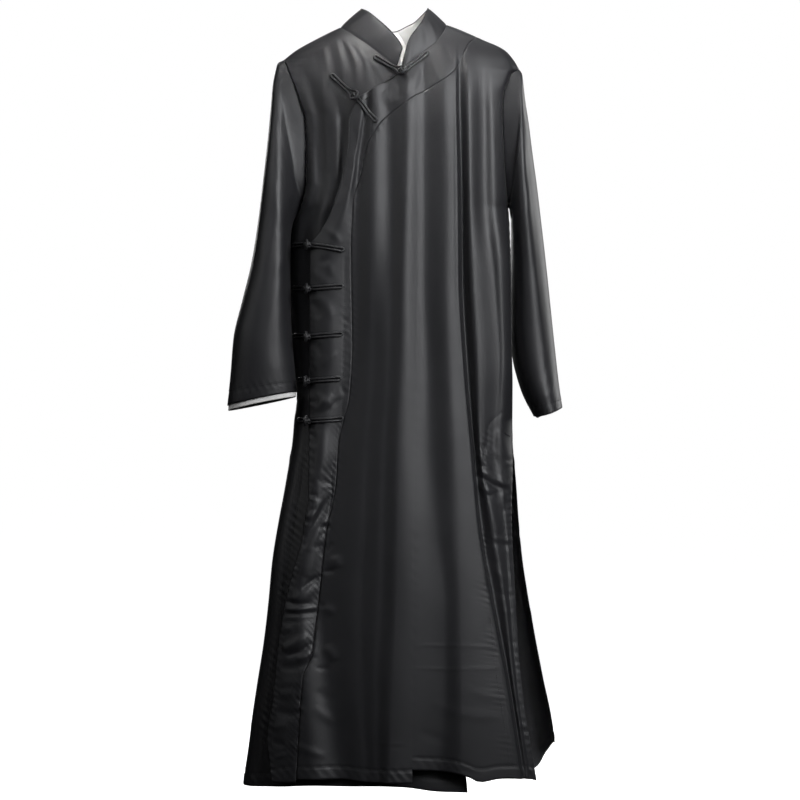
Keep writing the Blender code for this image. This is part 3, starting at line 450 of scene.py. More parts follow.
def unrest(x, z, size, seed):
    """Slow unevenness of hanging cloth."""
    a = np.sin(x / size * 5.1 + z / size * 0.9 + seed) * np.sin(z / size * 2.3 - x / size * 1.1 + 1.3 * seed)
    b = np.sin(x / size * 8.7 - z / size * 1.7 + 2.2 * seed) * np.sin(z / size * 4.1 + x / size * 2.3 + seed)
    return 0.65 * a + 0.35 * b


# Grids
TOP_ROWS = 60          # rows between the top edge and the first level row
NEAR_HEM = -1335.0     # a guide's place at the hem is looked for from this height


class Guide:
    """A line down a panel: its place across at each height, and its top. One that follows keeps to its line
    up to the top."""
    def __init__(self, line, top, follows=False):
        self.line = line
        self.top = top
        self.follows = follows


top_steps = (np.arange(TOP_ROWS) / TOP_ROWS) ** 1.8


def heights_of(top, end, rows):
    return np.concatenate([mix(top, FIRST_ROW, top_steps), np.linspace(FIRST_ROW, end, rows)])


def guide_path(guide, hem, rows):
    top_x, top_z = guide.top
    end = hem(guide.line(hem(guide.line(NEAR_HEM))))
    z = heights_of(top_z, end, rows)
    x = guide.line(z) + np.zeros_like(z)
    if guide.follows:
        x[:TOP_ROWS] += (top_x - guide.line(top_z)) * (1 - np.minimum(top_steps / 0.1, 1))
    else:
        x[:TOP_ROWS] = mix(top_x, guide.line(FIRST_ROW), top_steps)
    return x, z


def panel(guides, counts, top_curve, hem, rows):
    """Places across and heights of a grid, row by row, between guides."""
    paths = [guide_path(guide, hem, rows) for guide in guides]
    columns = [paths[0]]
    for before, after, count in zip(paths, paths[1:], counts):
        for k in range(1, count + 1):
            share = k / count
            if k == count:
                columns.append(after)
                continue
            x = mix(before[0], after[0], share)
            z = heights_of(float(top_curve(x[0])), float(hem(x[-1])), rows)
            columns.append((x, z))
    return (np.stack([c[0] for c in columns], 1), np.stack([c[1] for c in columns], 1))


def normals_of(points, wrap=False):
    down = np.gradient(points, axis=0)
    if wrap:
        across = np.roll(points, -1, 1) - np.roll(points, 1, 1)
    else:
        across = np.gradient(points, axis=1)
    return unit(np.cross(down, across))


def facing(normals, towards):
    """Normals turned so that they point with towards."""
    same = np.sum(normals * towards, axis=2, keepdims=True)
    return normals * np.where(np.median(same) < 0, -1.0, 1.0)


def grid_faces(rows, cols, wrap=False, flip=False):
    i = np.arange(rows - 1)[:, None]
    j = np.arange(cols if wrap else cols - 1)[None, :]
    k = (j + 1) % cols
    quads = np.stack([i * cols + j, (i + 1) * cols + j, (i + 1) * cols + k, i * cols + k], 2)
    quads = quads.reshape(-1, 4)
    return quads[:, ::-1] if flip else quads


def mesh_object(name, points, faces, materials):
    data = bpy.data.meshes.new(name)
    data.from_pydata((np.asarray(points).reshape(-1, 3) * MM).tolist(), [],
                     faces.tolist() if isinstance(faces, np.ndarray) else faces)
    data.update()
    data.shade_smooth()
    for material in materials:
        data.materials.append(material)
    piece = bpy.data.objects.new(name, data)
    bpy.context.scene.collection.objects.link(piece)
    return piece


def cloth_object(name, points, outward, materials, thick, wrap=False):
    """A thin shell whose outer face is the grid."""
    rows, cols = points.shape[:2]
    across = np.roll(points, -1, 1) - points if wrap else np.gradient(points, axis=1)
    down = np.gradient(points, axis=0)
    facing_out = np.median(np.sum(np.cross(down, across) * outward, axis=2)) > 0
    piece = mesh_object(name, points, grid_faces(rows, cols, wrap, not facing_out), materials)
    shell = piece.modifiers.new("Cloth thickness", "SOLIDIFY")
    shell.thickness = thick * MM
    shell.offset = -1.0
    shell.use_rim = True
    if len(materials) > 1:
        shell.material_offset = 1
    return piece


# Materials
def node(tree, kind, **values):
    made = tree.nodes.new(kind)
    for name, value in values.items():
        if hasattr(made, name):
            setattr(made, name, value)
        else:
            made.inputs[name.replace("_", " ")].default_value = value
    return made


def woven(name, dark, light, rough_low, rough_high, thread, grain, bump, sheen=0.0, stretch=(1, 1, 0.12)):
    """Cloth with fine threads, faint slubs and slow changes of colour."""
    material = bpy.data.materials.new(name)
    material.use_nodes = True
    tree = material.node_tree
    shader = tree.nodes["Principled BSDF"]
    place = tree.nodes.new("ShaderNodeTexCoord")
    squeeze = node(tree, "ShaderNodeMapping", vector_type="POINT")
    squeeze.inputs["Scale"].default_value = stretch
    slow = node(tree, "ShaderNodeTexNoise", Scale=14.0, Detail=3.0)
    slub = node(tree, "ShaderNodeTexNoise", Scale=grain, Detail=2.0)
    warp = node(tree, "ShaderNodeTexWave", Scale=thread, Distortion=0.4)
    warp.bands_direction = "X"
    weft = node(tree, "ShaderNodeTexWave", Scale=thread * 0.6, Distortion=0.4)
    weft.bands_direction = "Z"
    both = node(tree, "ShaderNodeMath", operation="MULTIPLY")
    all_of = node(tree, "ShaderNodeMath", operation="MULTIPLY_ADD")
    all_of.inputs[1].default_value = 0.6
    tones = node(tree, "ShaderNodeMapRange")
    tones.inputs["From Min"].default_value = 0.3
    tones.inputs["From Max"].default_value = 0.7
    mixed = node(tree, "ShaderNodeMix", data_type="RGBA")
    mixed.inputs[6].default_value = dark
    mixed.inputs[7].default_value = light
    gloss = node(tree, "ShaderNodeMapRange")
    gloss.inputs["To Min"].default_value = rough_low
    gloss.inputs["To Max"].default_value = rough_high
    relief = node(tree, "ShaderNodeBump", Strength=bump, Distance=0.00015)
    for source, given, target, taken in (
            (place, "Object", squeeze, "Vector"), (place, "Object", slow, "Vector"),
            (squeeze, "Vector", slub, "Vector"), (place, "Object", warp, "Vector"),
            (place, "Object", weft, "Vector"), (warp, "Fac", both, 0), (weft, "Fac", both, 1),
            (slub, "Fac", all_of, 0), (both, "Value", all_of, 2), (slow, "Fac", tones, "Value"),
            (tones, "Result", mixed, 0), (mixed, 2, shader, "Base Color"),
            (slub, "Fac", gloss, "Value"), (gloss, "Result", shader, "Roughness"),
            (all_of, "Value", relief, "Height"), (relief, "Normal", shader, "Normal")):
        tree.links.new(source.outputs[given], target.inputs[taken])
    if sheen:
        shader.inputs["Sheen Weight"].default_value = sheen
        shader.inputs["Sheen Roughness"].default_value = 0.4
    return material


satin = woven("satin_face", (0.0125, 0.0125, 0.0145, 1), (0.0165, 0.0165, 0.0185, 1), 0.43, 0.5,
              520, 420, 0.2, sheen=0.05)
# The inside face is the satin's duller wrong side, made several times lighter than the face: painted light
# that brightens inner faces the lamps hardly reach, such as the back panel seen through the right slit.
satin_inside_painted_light = woven("satin_inside_painted_light", (0.062, 0.062, 0.066, 1), (0.075, 0.075, 0.079, 1), 0.55, 0.65,
                     520, 300, 0.2, sheen=0.1)
# The piping is self fabric made darker than the satin: painted shade along the collar's rim and the overlap's
# edge.
painted_shade_piping_cloth = woven("piping_satin_painted_shade", (0.005, 0.005, 0.0055, 1), (0.008, 0.008, 0.009, 1), 0.38, 0.5,
                     600, 500, 0.3)
cord_cloth = woven("cord_satin", (0.014, 0.014, 0.015, 1), (0.030, 0.030, 0.032, 1), 0.34, 0.46,
                   900, 700, 0.4)
thread = woven("sewing_thread", (0.010, 0.010, 0.011, 1), (0.016, 0.016, 0.017, 1), 0.45, 0.6, 2500, 900, 0.6)
white_cloth = woven("white_cotton", (0.78, 0.77, 0.75, 1), (0.84, 0.835, 0.82, 1), 0.7, 0.85, 640, 300, 0.5,
                    sheen=0.05)


def seen(points, depth=-90.0):
    """Places in the photograph, brought to the cloth that lies this deep."""
    scale = (CAMERA_AWAY + depth) / CAMERA_AWAY
    return [((column - MIDDLE_COLUMN) * PIXEL * scale,
             CAMERA_HEIGHT + ((NECK_ROW - row) * PIXEL - CAMERA_HEIGHT) * scale) for column, row in points]


def from_photo(table):
    """Creases whose points are places in the photograph."""
    return [(width, height, *seen(points)) for width, height, *points in table]


# Body panels
def side_share(u):
    return lambda z: mix(edge_left(z), edge_right(z), (u + 1) / 2)


def right_edge_front(z):
    return np.where(z >= SLIT_TOP, edge_right(z), slit_edge_right(z))


def underlap_top(x):
    return shoulder(x) if x < NECK_ENDS[0] else neck_left(x)


def back_top(x):
    return neck_back(x) if NECK_ENDS[0] < x < NECK_ENDS[1] else shoulder(x)


def front_left_top(x):
    return border_top(x) if x < BAND_END else shoulder(x)


left_tip = SHOULDER_LINE[0]
right_tip = SHOULDER_LINE[-1]
hem_front_left = curve(HEM_FRONT_LEFT)
hem_front_right = curve(HEM_FRONT_RIGHT)
hem_underlap = curve(HEM_UNDERLAP)
hem_back = curve(HEM_BACK)

front_left_xz = panel(
    [Guide(centre_seam, (30.5, border_top(30.5)), follows=True),
     Guide(fold["centre valley"], (58, border_top(58))),
     Guide(fold["long crest"], (88, border_top(88))),
     Guide(fold["sharp edge"], (112, border_top(112))),
     Guide(fold["deep valley"], (122, border_top(122))),
     Guide(fold["outer crest"], (139, border_top(139))),
     Guide(fold["outer valley"], (160, shoulder(160))),
     Guide(fold["side crest"], (180, shoulder(180))),
     Guide(right_edge_front, right_tip, follows=True)],
    (12, 11, 9, 5, 7, 9, 7, 8), front_left_top, hem_front_left, ROWS["front"])

front_right_xz = panel(
    [Guide(border_side, (-14, border_top(-14)), follows=True),
     Guide(fold["middle crest"], (14, border_top(14))),
     Guide(centre_seam, (30.5, border_top(30.5)), follows=True)],
    (36, 14), border_top, hem_front_right, ROWS["front"])

underlap_xz = panel(
    [Guide(edge_left, left_tip, follows=True),
     Guide(side_share(-0.9), (-175, shoulder(-175))),
     Guide(side_share(-0.62), (-108, shoulder(-108))),
     Guide(lambda z: mix(side_share(-0.62)(z), underlap_free(z), 0.5), (-54, neck_left(-54))),
     Guide(underlap_free, (0, neck_left(0)), follows=True)],
    (14, 20, 14, 16), underlap_top, hem_underlap, ROWS["underlap"])


BACK_STRIPS = 26


def back_lines():
    """Lines down the back, closer together near the side seams."""
    shares = np.arange(1, BACK_STRIPS) / BACK_STRIPS
    places = [float(place) for place in mix(-np.cos(math.pi * shares), 2 * shares - 1, 0.45)]
    tops = [mix(left_tip[0], right_tip[0], (place + 1) / 2) for place in places]
    middle = [Guide(side_share(place), (top, float(back_top(top)))) for place, top in zip(places, tops)]
    return [Guide(edge_left, left_tip, follows=True)] + middle + [Guide(edge_right, right_tip, follows=True)]


back_xz = panel(back_lines(), (4,) * BACK_STRIPS, back_top, hem_back, ROWS["back"])

# The band lies between the border and the neck and overlap edge
border_line = [band_tip] + BORDER_TOP + [(x, z) for z, x in BORDER_SIDE[1:]]
edge_line = [(x, z) for x, z in NECK_RIGHT] + [(x, z) for x, z in NECK_TO_CHEST[1:]]
edge_line += [(x, z) for z, x in OVERLAP_EDGE[1:]] + [(x, z) for z, x in FLAP_EDGE[1:]]


def path_of(points, count):
    """Evenly spaced points on a smooth line through these."""
    line = rounded(points, 12)
    run = run_of(line)
    return places_on(line, run, np.linspace(0, run[-1], count))


AT_CENTRE = 4          # row of BORDER_TOP where the centre seam meets the border
BAND_COLUMNS = 27


def band_xz():
    """The band's grid, with rows from its inner edge to the border: shoulder to centre, centre to chest
    corner, and down the side."""
    outer = [path_of([band_tip] + BORDER_TOP[:AT_CENTRE + 1], 46)[:-1],
             path_of(BORDER_TOP[AT_CENTRE:], 20)[:-1]]
    inner = [path_of(NECK_RIGHT, 46)[:-1], path_of(NECK_TO_CHEST, 20)[:-1]]
    z = np.linspace(BORDER_SIDE[0][0], FIRST_ROW, 12)[:-1]
    z_in = np.linspace(OVERLAP_EDGE[0][0], FIRST_ROW, 12)[:-1]
    outer.append(np.stack([border_side(z), z], 1))
    inner.append(np.stack([overlap_edge(z_in), z_in], 1))
    z = np.linspace(FIRST_ROW, BORDER_SIDE[-1][0], ROWS["front"])
    z_in = np.linspace(FIRST_ROW, FLAP_EDGE[-1][0], ROWS["front"])
    outer.append(np.stack([border_side(z), z], 1))
    inner.append(np.stack([np.where(z_in > FLAP_TOP, overlap_edge(z_in), flap_edge(z_in)), z_in], 1))
    outer = np.concatenate(outer)
    inner = np.concatenate(inner)
    share = np.linspace(0, 1, BAND_COLUMNS)[None, :]
    x = mix(inner[:, :1], outer[:, :1], share)
    z = mix(inner[:, 1:], outer[:, 1:], share)
    z[0] = shoulder(x[0])
    return x, z


BAND_XZ = band_xz()


def raised(x, y, z, relief, towards):
    """The grid's points moved out of the cloth by the relief."""
    points = np.stack([x, y, z], 2)
    normals = facing(normals_of(points), np.array(towards, float))
    return points + normals * relief[..., None]


centre_line = [(x, z) for z, x in CENTRE_SEAM]
PRESSED = from_photo([
    (2.2, 0.5, (413, 645), (440, 644.5), (500, 646)), (2.4, 0.4, (413, 667), (455, 668), (503, 667)),
    (1.8, 0.5, (455, 60), (456, 190), (457, 320)), (2.0, 0.4, (372, 741), (405, 741.5)),
    (2.0, -0.3, (385, 745), (409, 745)),
])
FACING = from_photo([
    # from the slit stitches down to the left, as the cloth puckers
    (7, -3.2, (332, 495), (322, 511), (312, 530), (303, 549)),
    (9, 2.2, (320, 500), (312, 515), (304, 532)), (8, 2.0, (328, 515), (318, 532), (308, 552)),
    (3.5, -1.4, (309, 494), (318, 496)), (3.5, 1.3, (308, 499), (317, 501)),
    (3.5, -1.3, (307, 512), (317, 508)), (3.0, 1.0, (306, 517), (315, 514)),
    (3.5, -1.2, (305, 524), (312, 520)), (4, 1.8, (320, 523), (330, 521)),
    (4, -1.8, (319, 528), (331, 526)), (6, 1.5, (326, 536), (318, 545)), (5, -1.6, (332, 543), (321, 556)),
    (3, -1.0, (300, 545), (297, 553)), (13, 2.0, (316, 548), (312, 563), (306, 577)),
    (9, 2.2, (334, 556), (337, 568)), (4, -1.8, (322, 572), (334, 571)), (4, 1.2, (296, 567), (290, 576)),
    (4, -2.6, (322, 576), (312, 581), (302, 590)), (10, 2.4, (318, 586), (303, 596), (291, 600)),
    (4, -2.2, (285, 602), (300, 604), (312, 603)), (3, 2.2, (284, 610), (300, 609.5), (318, 607.5)),
    (4, -2.8, (284, 614.5), (300, 614), (320, 612)), (8, 2.0, (324, 607), (334, 613)),
    (3, -1.4, (319, 603), (324, 609)), (6, -1.2, (283, 622), (300, 621), (316, 618)),
    (5, 1.2, (281, 632), (292, 628)), (8, 3.0, (282, 650), (293, 645), (308, 635)),
    (4, -2.6, (286, 656), (300, 651), (312, 643)), (4, 1.9, (297, 660), (306, 656), (312, 651)),
    (5, -2.0, (300, 667), (308, 662), (316, 655)), (10, 2.2, (326, 646), (336, 660)),
    (4, -1.2, (316, 668), (330, 668)), (8, -1.8, (280, 668), (295, 667), (308, 664)),
    (9, 1.0, (280, 684), (298, 682), (306, 680)), (8, 1.6, (279, 695), (295, 692)),
    (3, -1.0, (296, 700), (306, 697)), (3, 1.1, (295, 708), (303, 708)),
    (8, -1.8, (276, 712), (290, 714), (302, 712)), (9, 1.2, (314, 706), (326, 716), (335, 722)),
    (7, 1.0, (272, 728), (288, 725)), (7, 1.4, (290, 743), (305, 748), (325, 755)),
    (6, -1.2, (272, 742), (285, 745)), (3, 1.0, (274, 758), (283, 755), (290, 753)),
    (9, -0.9, (316, 690), (330, 700)),
])
BAND_CREASES = from_photo([
    (6, 1.2, (323, 226), (334, 234), (341, 243)), (7, -1.2, (318, 262), (330, 258), (338, 250)),
    (8, 1.0, (312, 270), (322, 279), (330, 285)), (7, -1.4, (311, 300), (316, 308), (318, 318)),
    (8, 1.2, (318, 296), (325, 303), (332, 318)), (6, 0.8, (328, 262), (332, 275)),
    (7, 1.0, (312, 345), (313, 360), (316, 371)), (4, -1.0, (318, 343), (320, 356)),
    (6, 1.0, (322, 366), (336, 352)), (7, 1.2, (316, 394), (326, 402), (335, 408)),
    (4, -1.6, (320, 416), (330, 408), (340, 398)), (6, 1.6, (313, 411), (322, 404), (332, 394)),
    (5, -1.0, (311, 405), (318, 397)), (8, -0.9, (311, 432), (316, 446)),
    (11, 1.2, (322, 430), (326, 455), (325, 470)), (6, -1.0, (316, 478), (330, 486)),
    (2.5, 0.9, (322, 487), (330, 487.5)), (6, 0.8, (310, 470), (314, 482)),
    (2.5, -0.7, (343, 322), (349, 318)), (3, 0.6, (344, 332), (350, 330)),
    (2.5, -0.6, (345, 262), (350, 258)), (3, -0.9, (340, 384), (346, 396)),
    # below the chest corner and across the shoulder
    (8, -1.2, (364, 98), (372, 112), (374, 124)), (9, 1.2, (384, 90), (392, 104)),
    (7, -1.3, (398, 80), (399, 98)), (7, 1.4, (409, 76), (404, 94)), (6, 1.2, (418, 66), (414, 88)),
    (5, -1.2, (424, 60), (423, 80)), (6, 1.0, (432, 56), (436, 74)), (7, -0.9, (446, 42), (452, 60)),
    (5, 1.4, (350, 120), (349, 150), (345, 185)), (5, -1.2, (356, 130), (356, 165)),
    (7, 1.0, (338, 205), (347, 190), (352, 170)),
])
RIGHT_CREASES = from_photo([
    # at the right slit
    (4.5, -4.0, (475, 475), (484, 478.5), (495, 486), (512, 490.5)),
    (6, 2.4, (484, 471), (494, 478), (504, 484), (512, 486)),
    (4, -2.2, (485, 497), (497, 493.5), (512, 492)), (7, 1.8, (474, 482), (486, 490), (497, 497)),
    (9, 2.2, (489, 500), (494, 520), (499, 535)), (6, -2.0, (508, 494), (506, 515)),
    (5, 1.8, (480, 452), (484, 461), (492, 470)), (4, -1.6, (478, 462), (484, 468)),
    (4, -1.6, (482, 444), (485, 452)), (7, -1.6, (492, 455), (500, 465), (505, 478)),
    (9, 1.8, (497, 430), (504, 445), (509, 458)), (2.5, -1.4, (506, 461), (513, 461.5)),
    (3, 1.0, (506, 465), (513, 465)), (3, 0.8, (505, 477), (513, 477)), (3, 1.2, (482, 473), (490, 477)),
    (4, 1.2, (499, 500), (505, 508)), (5, 1.6, (494, 537), (505, 541), (512, 540)),
    (5, -1.6, (492, 543), (512, 547)), (3, 0.9, (503, 553), (513, 554)),
    (6, 1.3, (492, 570), (506, 579), (514, 581)), (5, -1.0, (490, 560), (500, 564)),
    (6, -1.3, (494, 590), (505, 596), (515, 598)), (5, 1.0, (500, 610), (516, 616)),
    (5, -0.8, (503, 640), (518, 644)), (5, 0.9, (509, 675), (520, 680)), (5, -0.8, (512, 705), (524, 708)),
    (5, 0.8, (517, 725), (527, 727)), (6, 1.0, (503, 400), (509, 420)),
    # across the lower front
    (3, 0.5, (480, 672), (492, 668), (500, 662)), (9, 0.7, (470, 690), (505, 700)),
    (10, 0.8, (430, 700), (462, 712), (500, 716)), (9, -0.8, (420, 730), (450, 742)),
])


def front_relief(x, z):
    relief = ditch(border_line, x, z, 1.5, 0.45)
    relief += ditch(centre_line, x, z, 1.6, 0.05)
    relief += puckers(border_line, x, z, 15, 8, 0.35, 0.7, 1.0)
    relief += puckers(centre_line, x, z, 23, 6, 0.1, 0.4, 2.0)
    relief += creases(PRESSED, x, z)
    relief += 0.5 * unrest(x, z, 260, 0.4) * ease((-z - 60) / 200)
    relief += 0.12 * unrest(x, z, 90, 2.9) * ease((-z - 60) / 200)
    return relief


def hem_relief(x, z, hem, height, seed):
    """The turned-up hem: a row of stitches with small diagonal creases below it."""
    up = z - hem(x)
    line = np.exp(-((up - height) / 1.6) ** 2)
    step = np.where(up < height, 0.25, 0.0) * ease(up / 3)
    wrinkle = ripple(x + 0.8 * up, 17, seed) * np.exp(-((up - height * 0.6) / (0.55 * height)) ** 2)
    return -0.8 * line + step + 0.55 * wrinkle * np.where(up < 2.2 * height, 1, 0)


SLIT_LEFT = seen([(341.6, 419), (338, 440), (331.5, 470), (331, 480), (332, 494), (327, 528), (322, 566),
                  (320, 591), (315, 636), (312, 655), (304, 675), (301, 698), (297, 730), (296, 762)])
TOPSTITCH = seen([(344.5, 258), (344.5, 300), (344, 340), (343, 380), (342, 415)])
SLIT_RIGHT = seen([(502, 413), (496, 418), (489, 425), (488, 432), (487.5, 445), (484, 455), (484, 470),
                   (486, 490), (484.5, 520), (486, 560), (489, 600), (493, 650), (500, 700), (507, 745),
                   (509, 768)])


def band_relief(x, z):
    relief = front_relief(x, z) + creases(BAND_CREASES + FACING, x, z)
    relief += ditch(SLIT_LEFT, x, z, 1.6, 1.0) + ditch(TOPSTITCH, x, z, 1.2, 0.45)
    relief += puckers(SLIT_LEFT, x, z, 10, 12, 0.9, 0.9, 3.0)
    relief += puckers(TOPSTITCH, x, z, 12, 6, 0.25, 0.5, 4.0)
    edge = curve([(z0, x0) for z0, x0 in FLAP_EDGE])
    low = ease((-z - 480) / 60)
    relief += 0.6 * ripple(z + 0.5 * x, 13, 5.0) * np.exp(-((x - edge(z)) / 9) ** 2) * low
    relief += 0.5 * unrest(x, z, 60, 1.2)
    return relief + hem_relief(x, z, hem_front_right, HEM_STITCHES, 1.0)


def front_right_relief(x, z):
    return front_relief(x, z) + creases(FACING, x, z) + hem_relief(x, z, hem_front_right, HEM_STITCHES, 1.0)


def front_left_relief(x, z):
    relief = front_relief(x, z) + 0.65 * creases(RIGHT_CREASES, x, z)
    relief += ditch(SLIT_RIGHT, x, z, 1.6, 0.9)
    relief += puckers(SLIT_RIGHT, x, z, 9, 9, 0.75, 0.5, 6.0) * ease((-z - 690) / 40)
    near = np.exp(-((x - right_edge_front(z)) / 10) ** 2)
    relief += 0.6 * ripple(z, 14, 7.0) * near * ease((-z - 740) / 60)
    return relief + hem_relief(x, z, hem_front_left, HEM_STITCHES, 2.0)


UNDERLAP_CREASES = from_photo([
    # gathers below the collar and down to the armhole
    (5, 1.6, (322, 42), (326, 60), (330, 86)), (5, -1.6, (329, 40), (334, 66), (341, 88)),
    (4, 2.0, (335, 34), (341, 60), (345, 92)), (5, -1.8, (341, 36), (349, 62), (352, 84)),
    (4, 1.5, (346, 38), (356, 62), (357, 88)), (4, -1.6, (352, 42), (362, 60), (363, 82)),
    (4, 1.4, (360, 48), (366, 62), (368, 80)), (4, -1.2, (366, 56), (372, 70), (374, 84)),
    (5, 1.3, (374, 60), (379, 70), (384, 80)), (4, -1.0, (384, 64), (389, 72), (393, 78)),
    (7, -1.2, (315, 48), (317, 70), (320, 96)), (8, 1.0, (308, 56), (308, 78), (312, 104)),
    (7, -1.0, (298, 60), (296, 76), (301, 98)), (9, 1.8, (322, 100), (326, 130), (330, 170)),
    (6, 2.6, (334, 108), (336, 140), (335, 180)), (5, -1.6, (328, 108), (329, 140), (328, 178)),
    (5, -3.0, (341, 110), (343, 140), (341, 176)), (9, -1.4, (313, 110), (314, 140), (318, 180)),
    (5, 1.6, (310, 125), (312, 160), (316, 205)), (7, 1.4, (320, 180), (322, 205), (323, 228)),
    (5, -1.4, (328, 190), (330, 205), (331, 216)), (5, -1.2, (313, 200), (314, 220), (315, 238)),
])


SIDE_SEAM = range(-60, -720, -30)
SIDE_SLIT = range(-740, -1330, -30)


def down_edge(edge, heights, inset=0):
    """Places along an edge of the body, this far in from it."""
    return [(float(edge(h)) + inset, h) for h in heights]


def underlap_relief(x, z):
    relief = 0.6 * creases(UNDERLAP_CREASES, x, z)
    seam = down_edge(edge_left, SIDE_SEAM)
    relief += puckers(seam, x, z, 16, 14, 0.5, 0.5, 1.5) + ditch(seam, x, z, 2.0, 0.5)
    slit = down_edge(edge_left, SIDE_SLIT, SLIT_STITCHES)
    relief += puckers(slit, x, z, 12, 13, 0.7, 0.6, 2.5) + ditch(slit, x, z, 1.6, 0.7)
    relief += 0.9 * unrest(x, z, 210, 4.1) * ease((-z - 60) / 200)
    return relief + hem_relief(x, z, hem_underlap, HEM_STITCHES, 3.0)


# width and height of each crease, then across and height for each of its points
BACK_CREASES = [
    (10, 1.6, (-172, -120), (-150, -180), (-132, -250)),
    (12, 1.4, (-185, -330), (-140, -300), (-90, -292)), (11, 1.5, (168, -120), (150, -190), (138, -262)),
    (12, 1.5, (190, -335), (150, -306), (96, -290)), (9, 1.0, (-70, -30), (-60, -90), (-58, -160)),
    (8, 1.1, (52, -20), (50, -84), (56, -150)), (9, -0.9, (-20, -44), (-8, -100), (-12, -190)),
    (16, 1.4, (-150, -520), (-96, -560), (-40, -575)), (15, 1.3, (150, -500), (100, -548), (48, -566)),
    (14, -1.2, (-160, -600), (-100, -632), (-30, -640)), (15, -1.0, (165, -590), (110, -620), (40, -640)),
    (13, 1.0, (-120, -700), (-70, -720), (-10, -716)), (14, 1.0, (120, -690), (80, -716), (20, -730)),
    (9, 1.6, (-205, -760), (-170, -800), (-150, -860)), (9, 1.7, (210, -770), (176, -806), (150, -850)),
    (9, -1.4, (-215, -900), (-180, -930), (-165, -990)), (9, -1.4, (222, -905), (190, -930), (172, -1000)),
    (12, 1.1, (-60, -180), (-90, -240), (-104, -320)), (12, 1.2, (70, -170), (92, -240), (100, -330)),
    (10, 1.2, (-232, -1040), (-196, -1060), (-186, -1110)),
    (10, 1.3, (240, -1050), (204, -1066), (190, -1120)),
]


def back_relief(x, z):
    relief = creases(BACK_CREASES, x, z)
    middle = [(2, -36), (3, -400), (2, -800), (0, -1335)]
    relief += ditch(middle, x, z, 1.8, 0.8) + puckers(middle, x, z, 19, 9, 0.3, 0.4, 3.5)
    for edge, inset, seed in ((edge_left, SLIT_STITCHES, 4.5), (edge_right, -SLIT_STITCHES, 5.5)):
        seam = down_edge(edge, SIDE_SEAM)
        relief += puckers(seam, x, z, 16, 14, 0.5, 0.5, seed)
        slit = down_edge(edge, SIDE_SLIT, inset)
        relief += puckers(slit, x, z, 12, 15, 0.8, 0.3, seed + 1) + ditch(slit, x, z, 1.6, 0.8)
    relief += 1.1 * unrest(x, z, 230, 5.1) * ease((-z - 60) / 200)
    relief += 0.3 * unrest(x, z, 80, 3.7) * ease((-z - 60) / 200)
    return relief + hem_relief(x, z, hem_back, HEM_STITCHES, 4.0)


FRONT_WAY = (0, -1, 0.05)
BACK_WAY = (0, 1, 0.05)


def body_piece(name, xz, depth_of, relief_of, towards=FRONT_WAY):
    x, z = xz
    points = raised(x, depth_of(x, z), z, relief_of(x, z), towards)
    piece = cloth_object(name, points, np.array(towards, float), [satin, satin_inside_painted_light], LAYER)
    return piece, points


def pressed_flat(piece):
    """Along the centre seam the two halves meet without a rounded edge."""
    flat = np.zeros(3 * len(piece.data.vertices))
    piece.data.vertices.foreach_get("co", flat)
    at = flat.reshape(-1, 3) / MM
    on_seam = np.abs(at[:, 0] - centre_seam(at[:, 2])) < 0.6
    for edge in piece.data.edges:
        if on_seam[edge.vertices[0]] and on_seam[edge.vertices[1]]:
            edge.use_edge_sharp = True


front_left, front_left_points = body_piece("front_left_cloth", front_left_xz, front_y, front_left_relief)
front_right, front_right_points = body_piece("front_right_cloth", front_right_xz, front_y,
                                             front_right_relief)
pressed_flat(front_left)
pressed_flat(front_right)
band, band_points = body_piece("overlap_band_cloth", BAND_XZ, front_y, band_relief)
underlap, underlap_points = body_piece("underlap_cloth", underlap_xz, underlap_y, underlap_relief)
back, back_points = body_piece("back_cloth", back_xz, back_y, back_relief, BACK_WAY)


# Sleeves
def sleeve_points(table, edge, hole, top, bottom, rings, around):
    columns = [curve([(k, row[c]) for k, row in enumerate(table, start=1)]) for c in range(7)]
    angle = np.linspace(0, 2 * math.pi, around, endpoint=False)[None, :]
    level = (1 - np.cos(angle)) / 2

    def ring(k):
        ox, oz, ix, iz, depth, middle, drop = [c(k) for c in columns]
        x = mix(ox, ix, level)
        z = mix(oz, iz, level) + drop * np.sin(angle)
        y = middle - depth * np.sin(angle)
        return np.stack([x + 0 * k, y, z], 2)

    z = mix(top, bottom, level)
    side = np.sign(np.sin(angle)) * np.minimum(1, 8 * np.abs(np.sin(angle)))
    first = np.stack([edge(z), -hole(z) * side, z], 2)
    k = np.linspace(0, len(table), rings)[:, None]
    points = ring(np.maximum(k, 1.0))
    one = ring(np.array([[1.0]]))
    slope = (ring(np.array([[1.02]])) - one) / 0.02
    t = np.clip(k, 0, 1)[..., None]
    chord = one - first
    early = ((1 + 2 * t) * (1 - t) ** 2 * first + t * (1 - t) ** 2 * chord
             + t * t * (3 - 2 * t) * one + t * t * (t - 1) * slope)
    return np.where(k[..., None] < 1, early, points), k + 0 * angle, np.degrees(angle) + 0 * k


PER_DEGREE = 1.1       # cloth round the sleeve for each degree
PER_RING = 60.0        # cloth down the sleeve from ring to ring of its table
SLEEVE_RINGS = len(SLEEVE_LEFT)
SLEEVE_GRID = (176, 132)


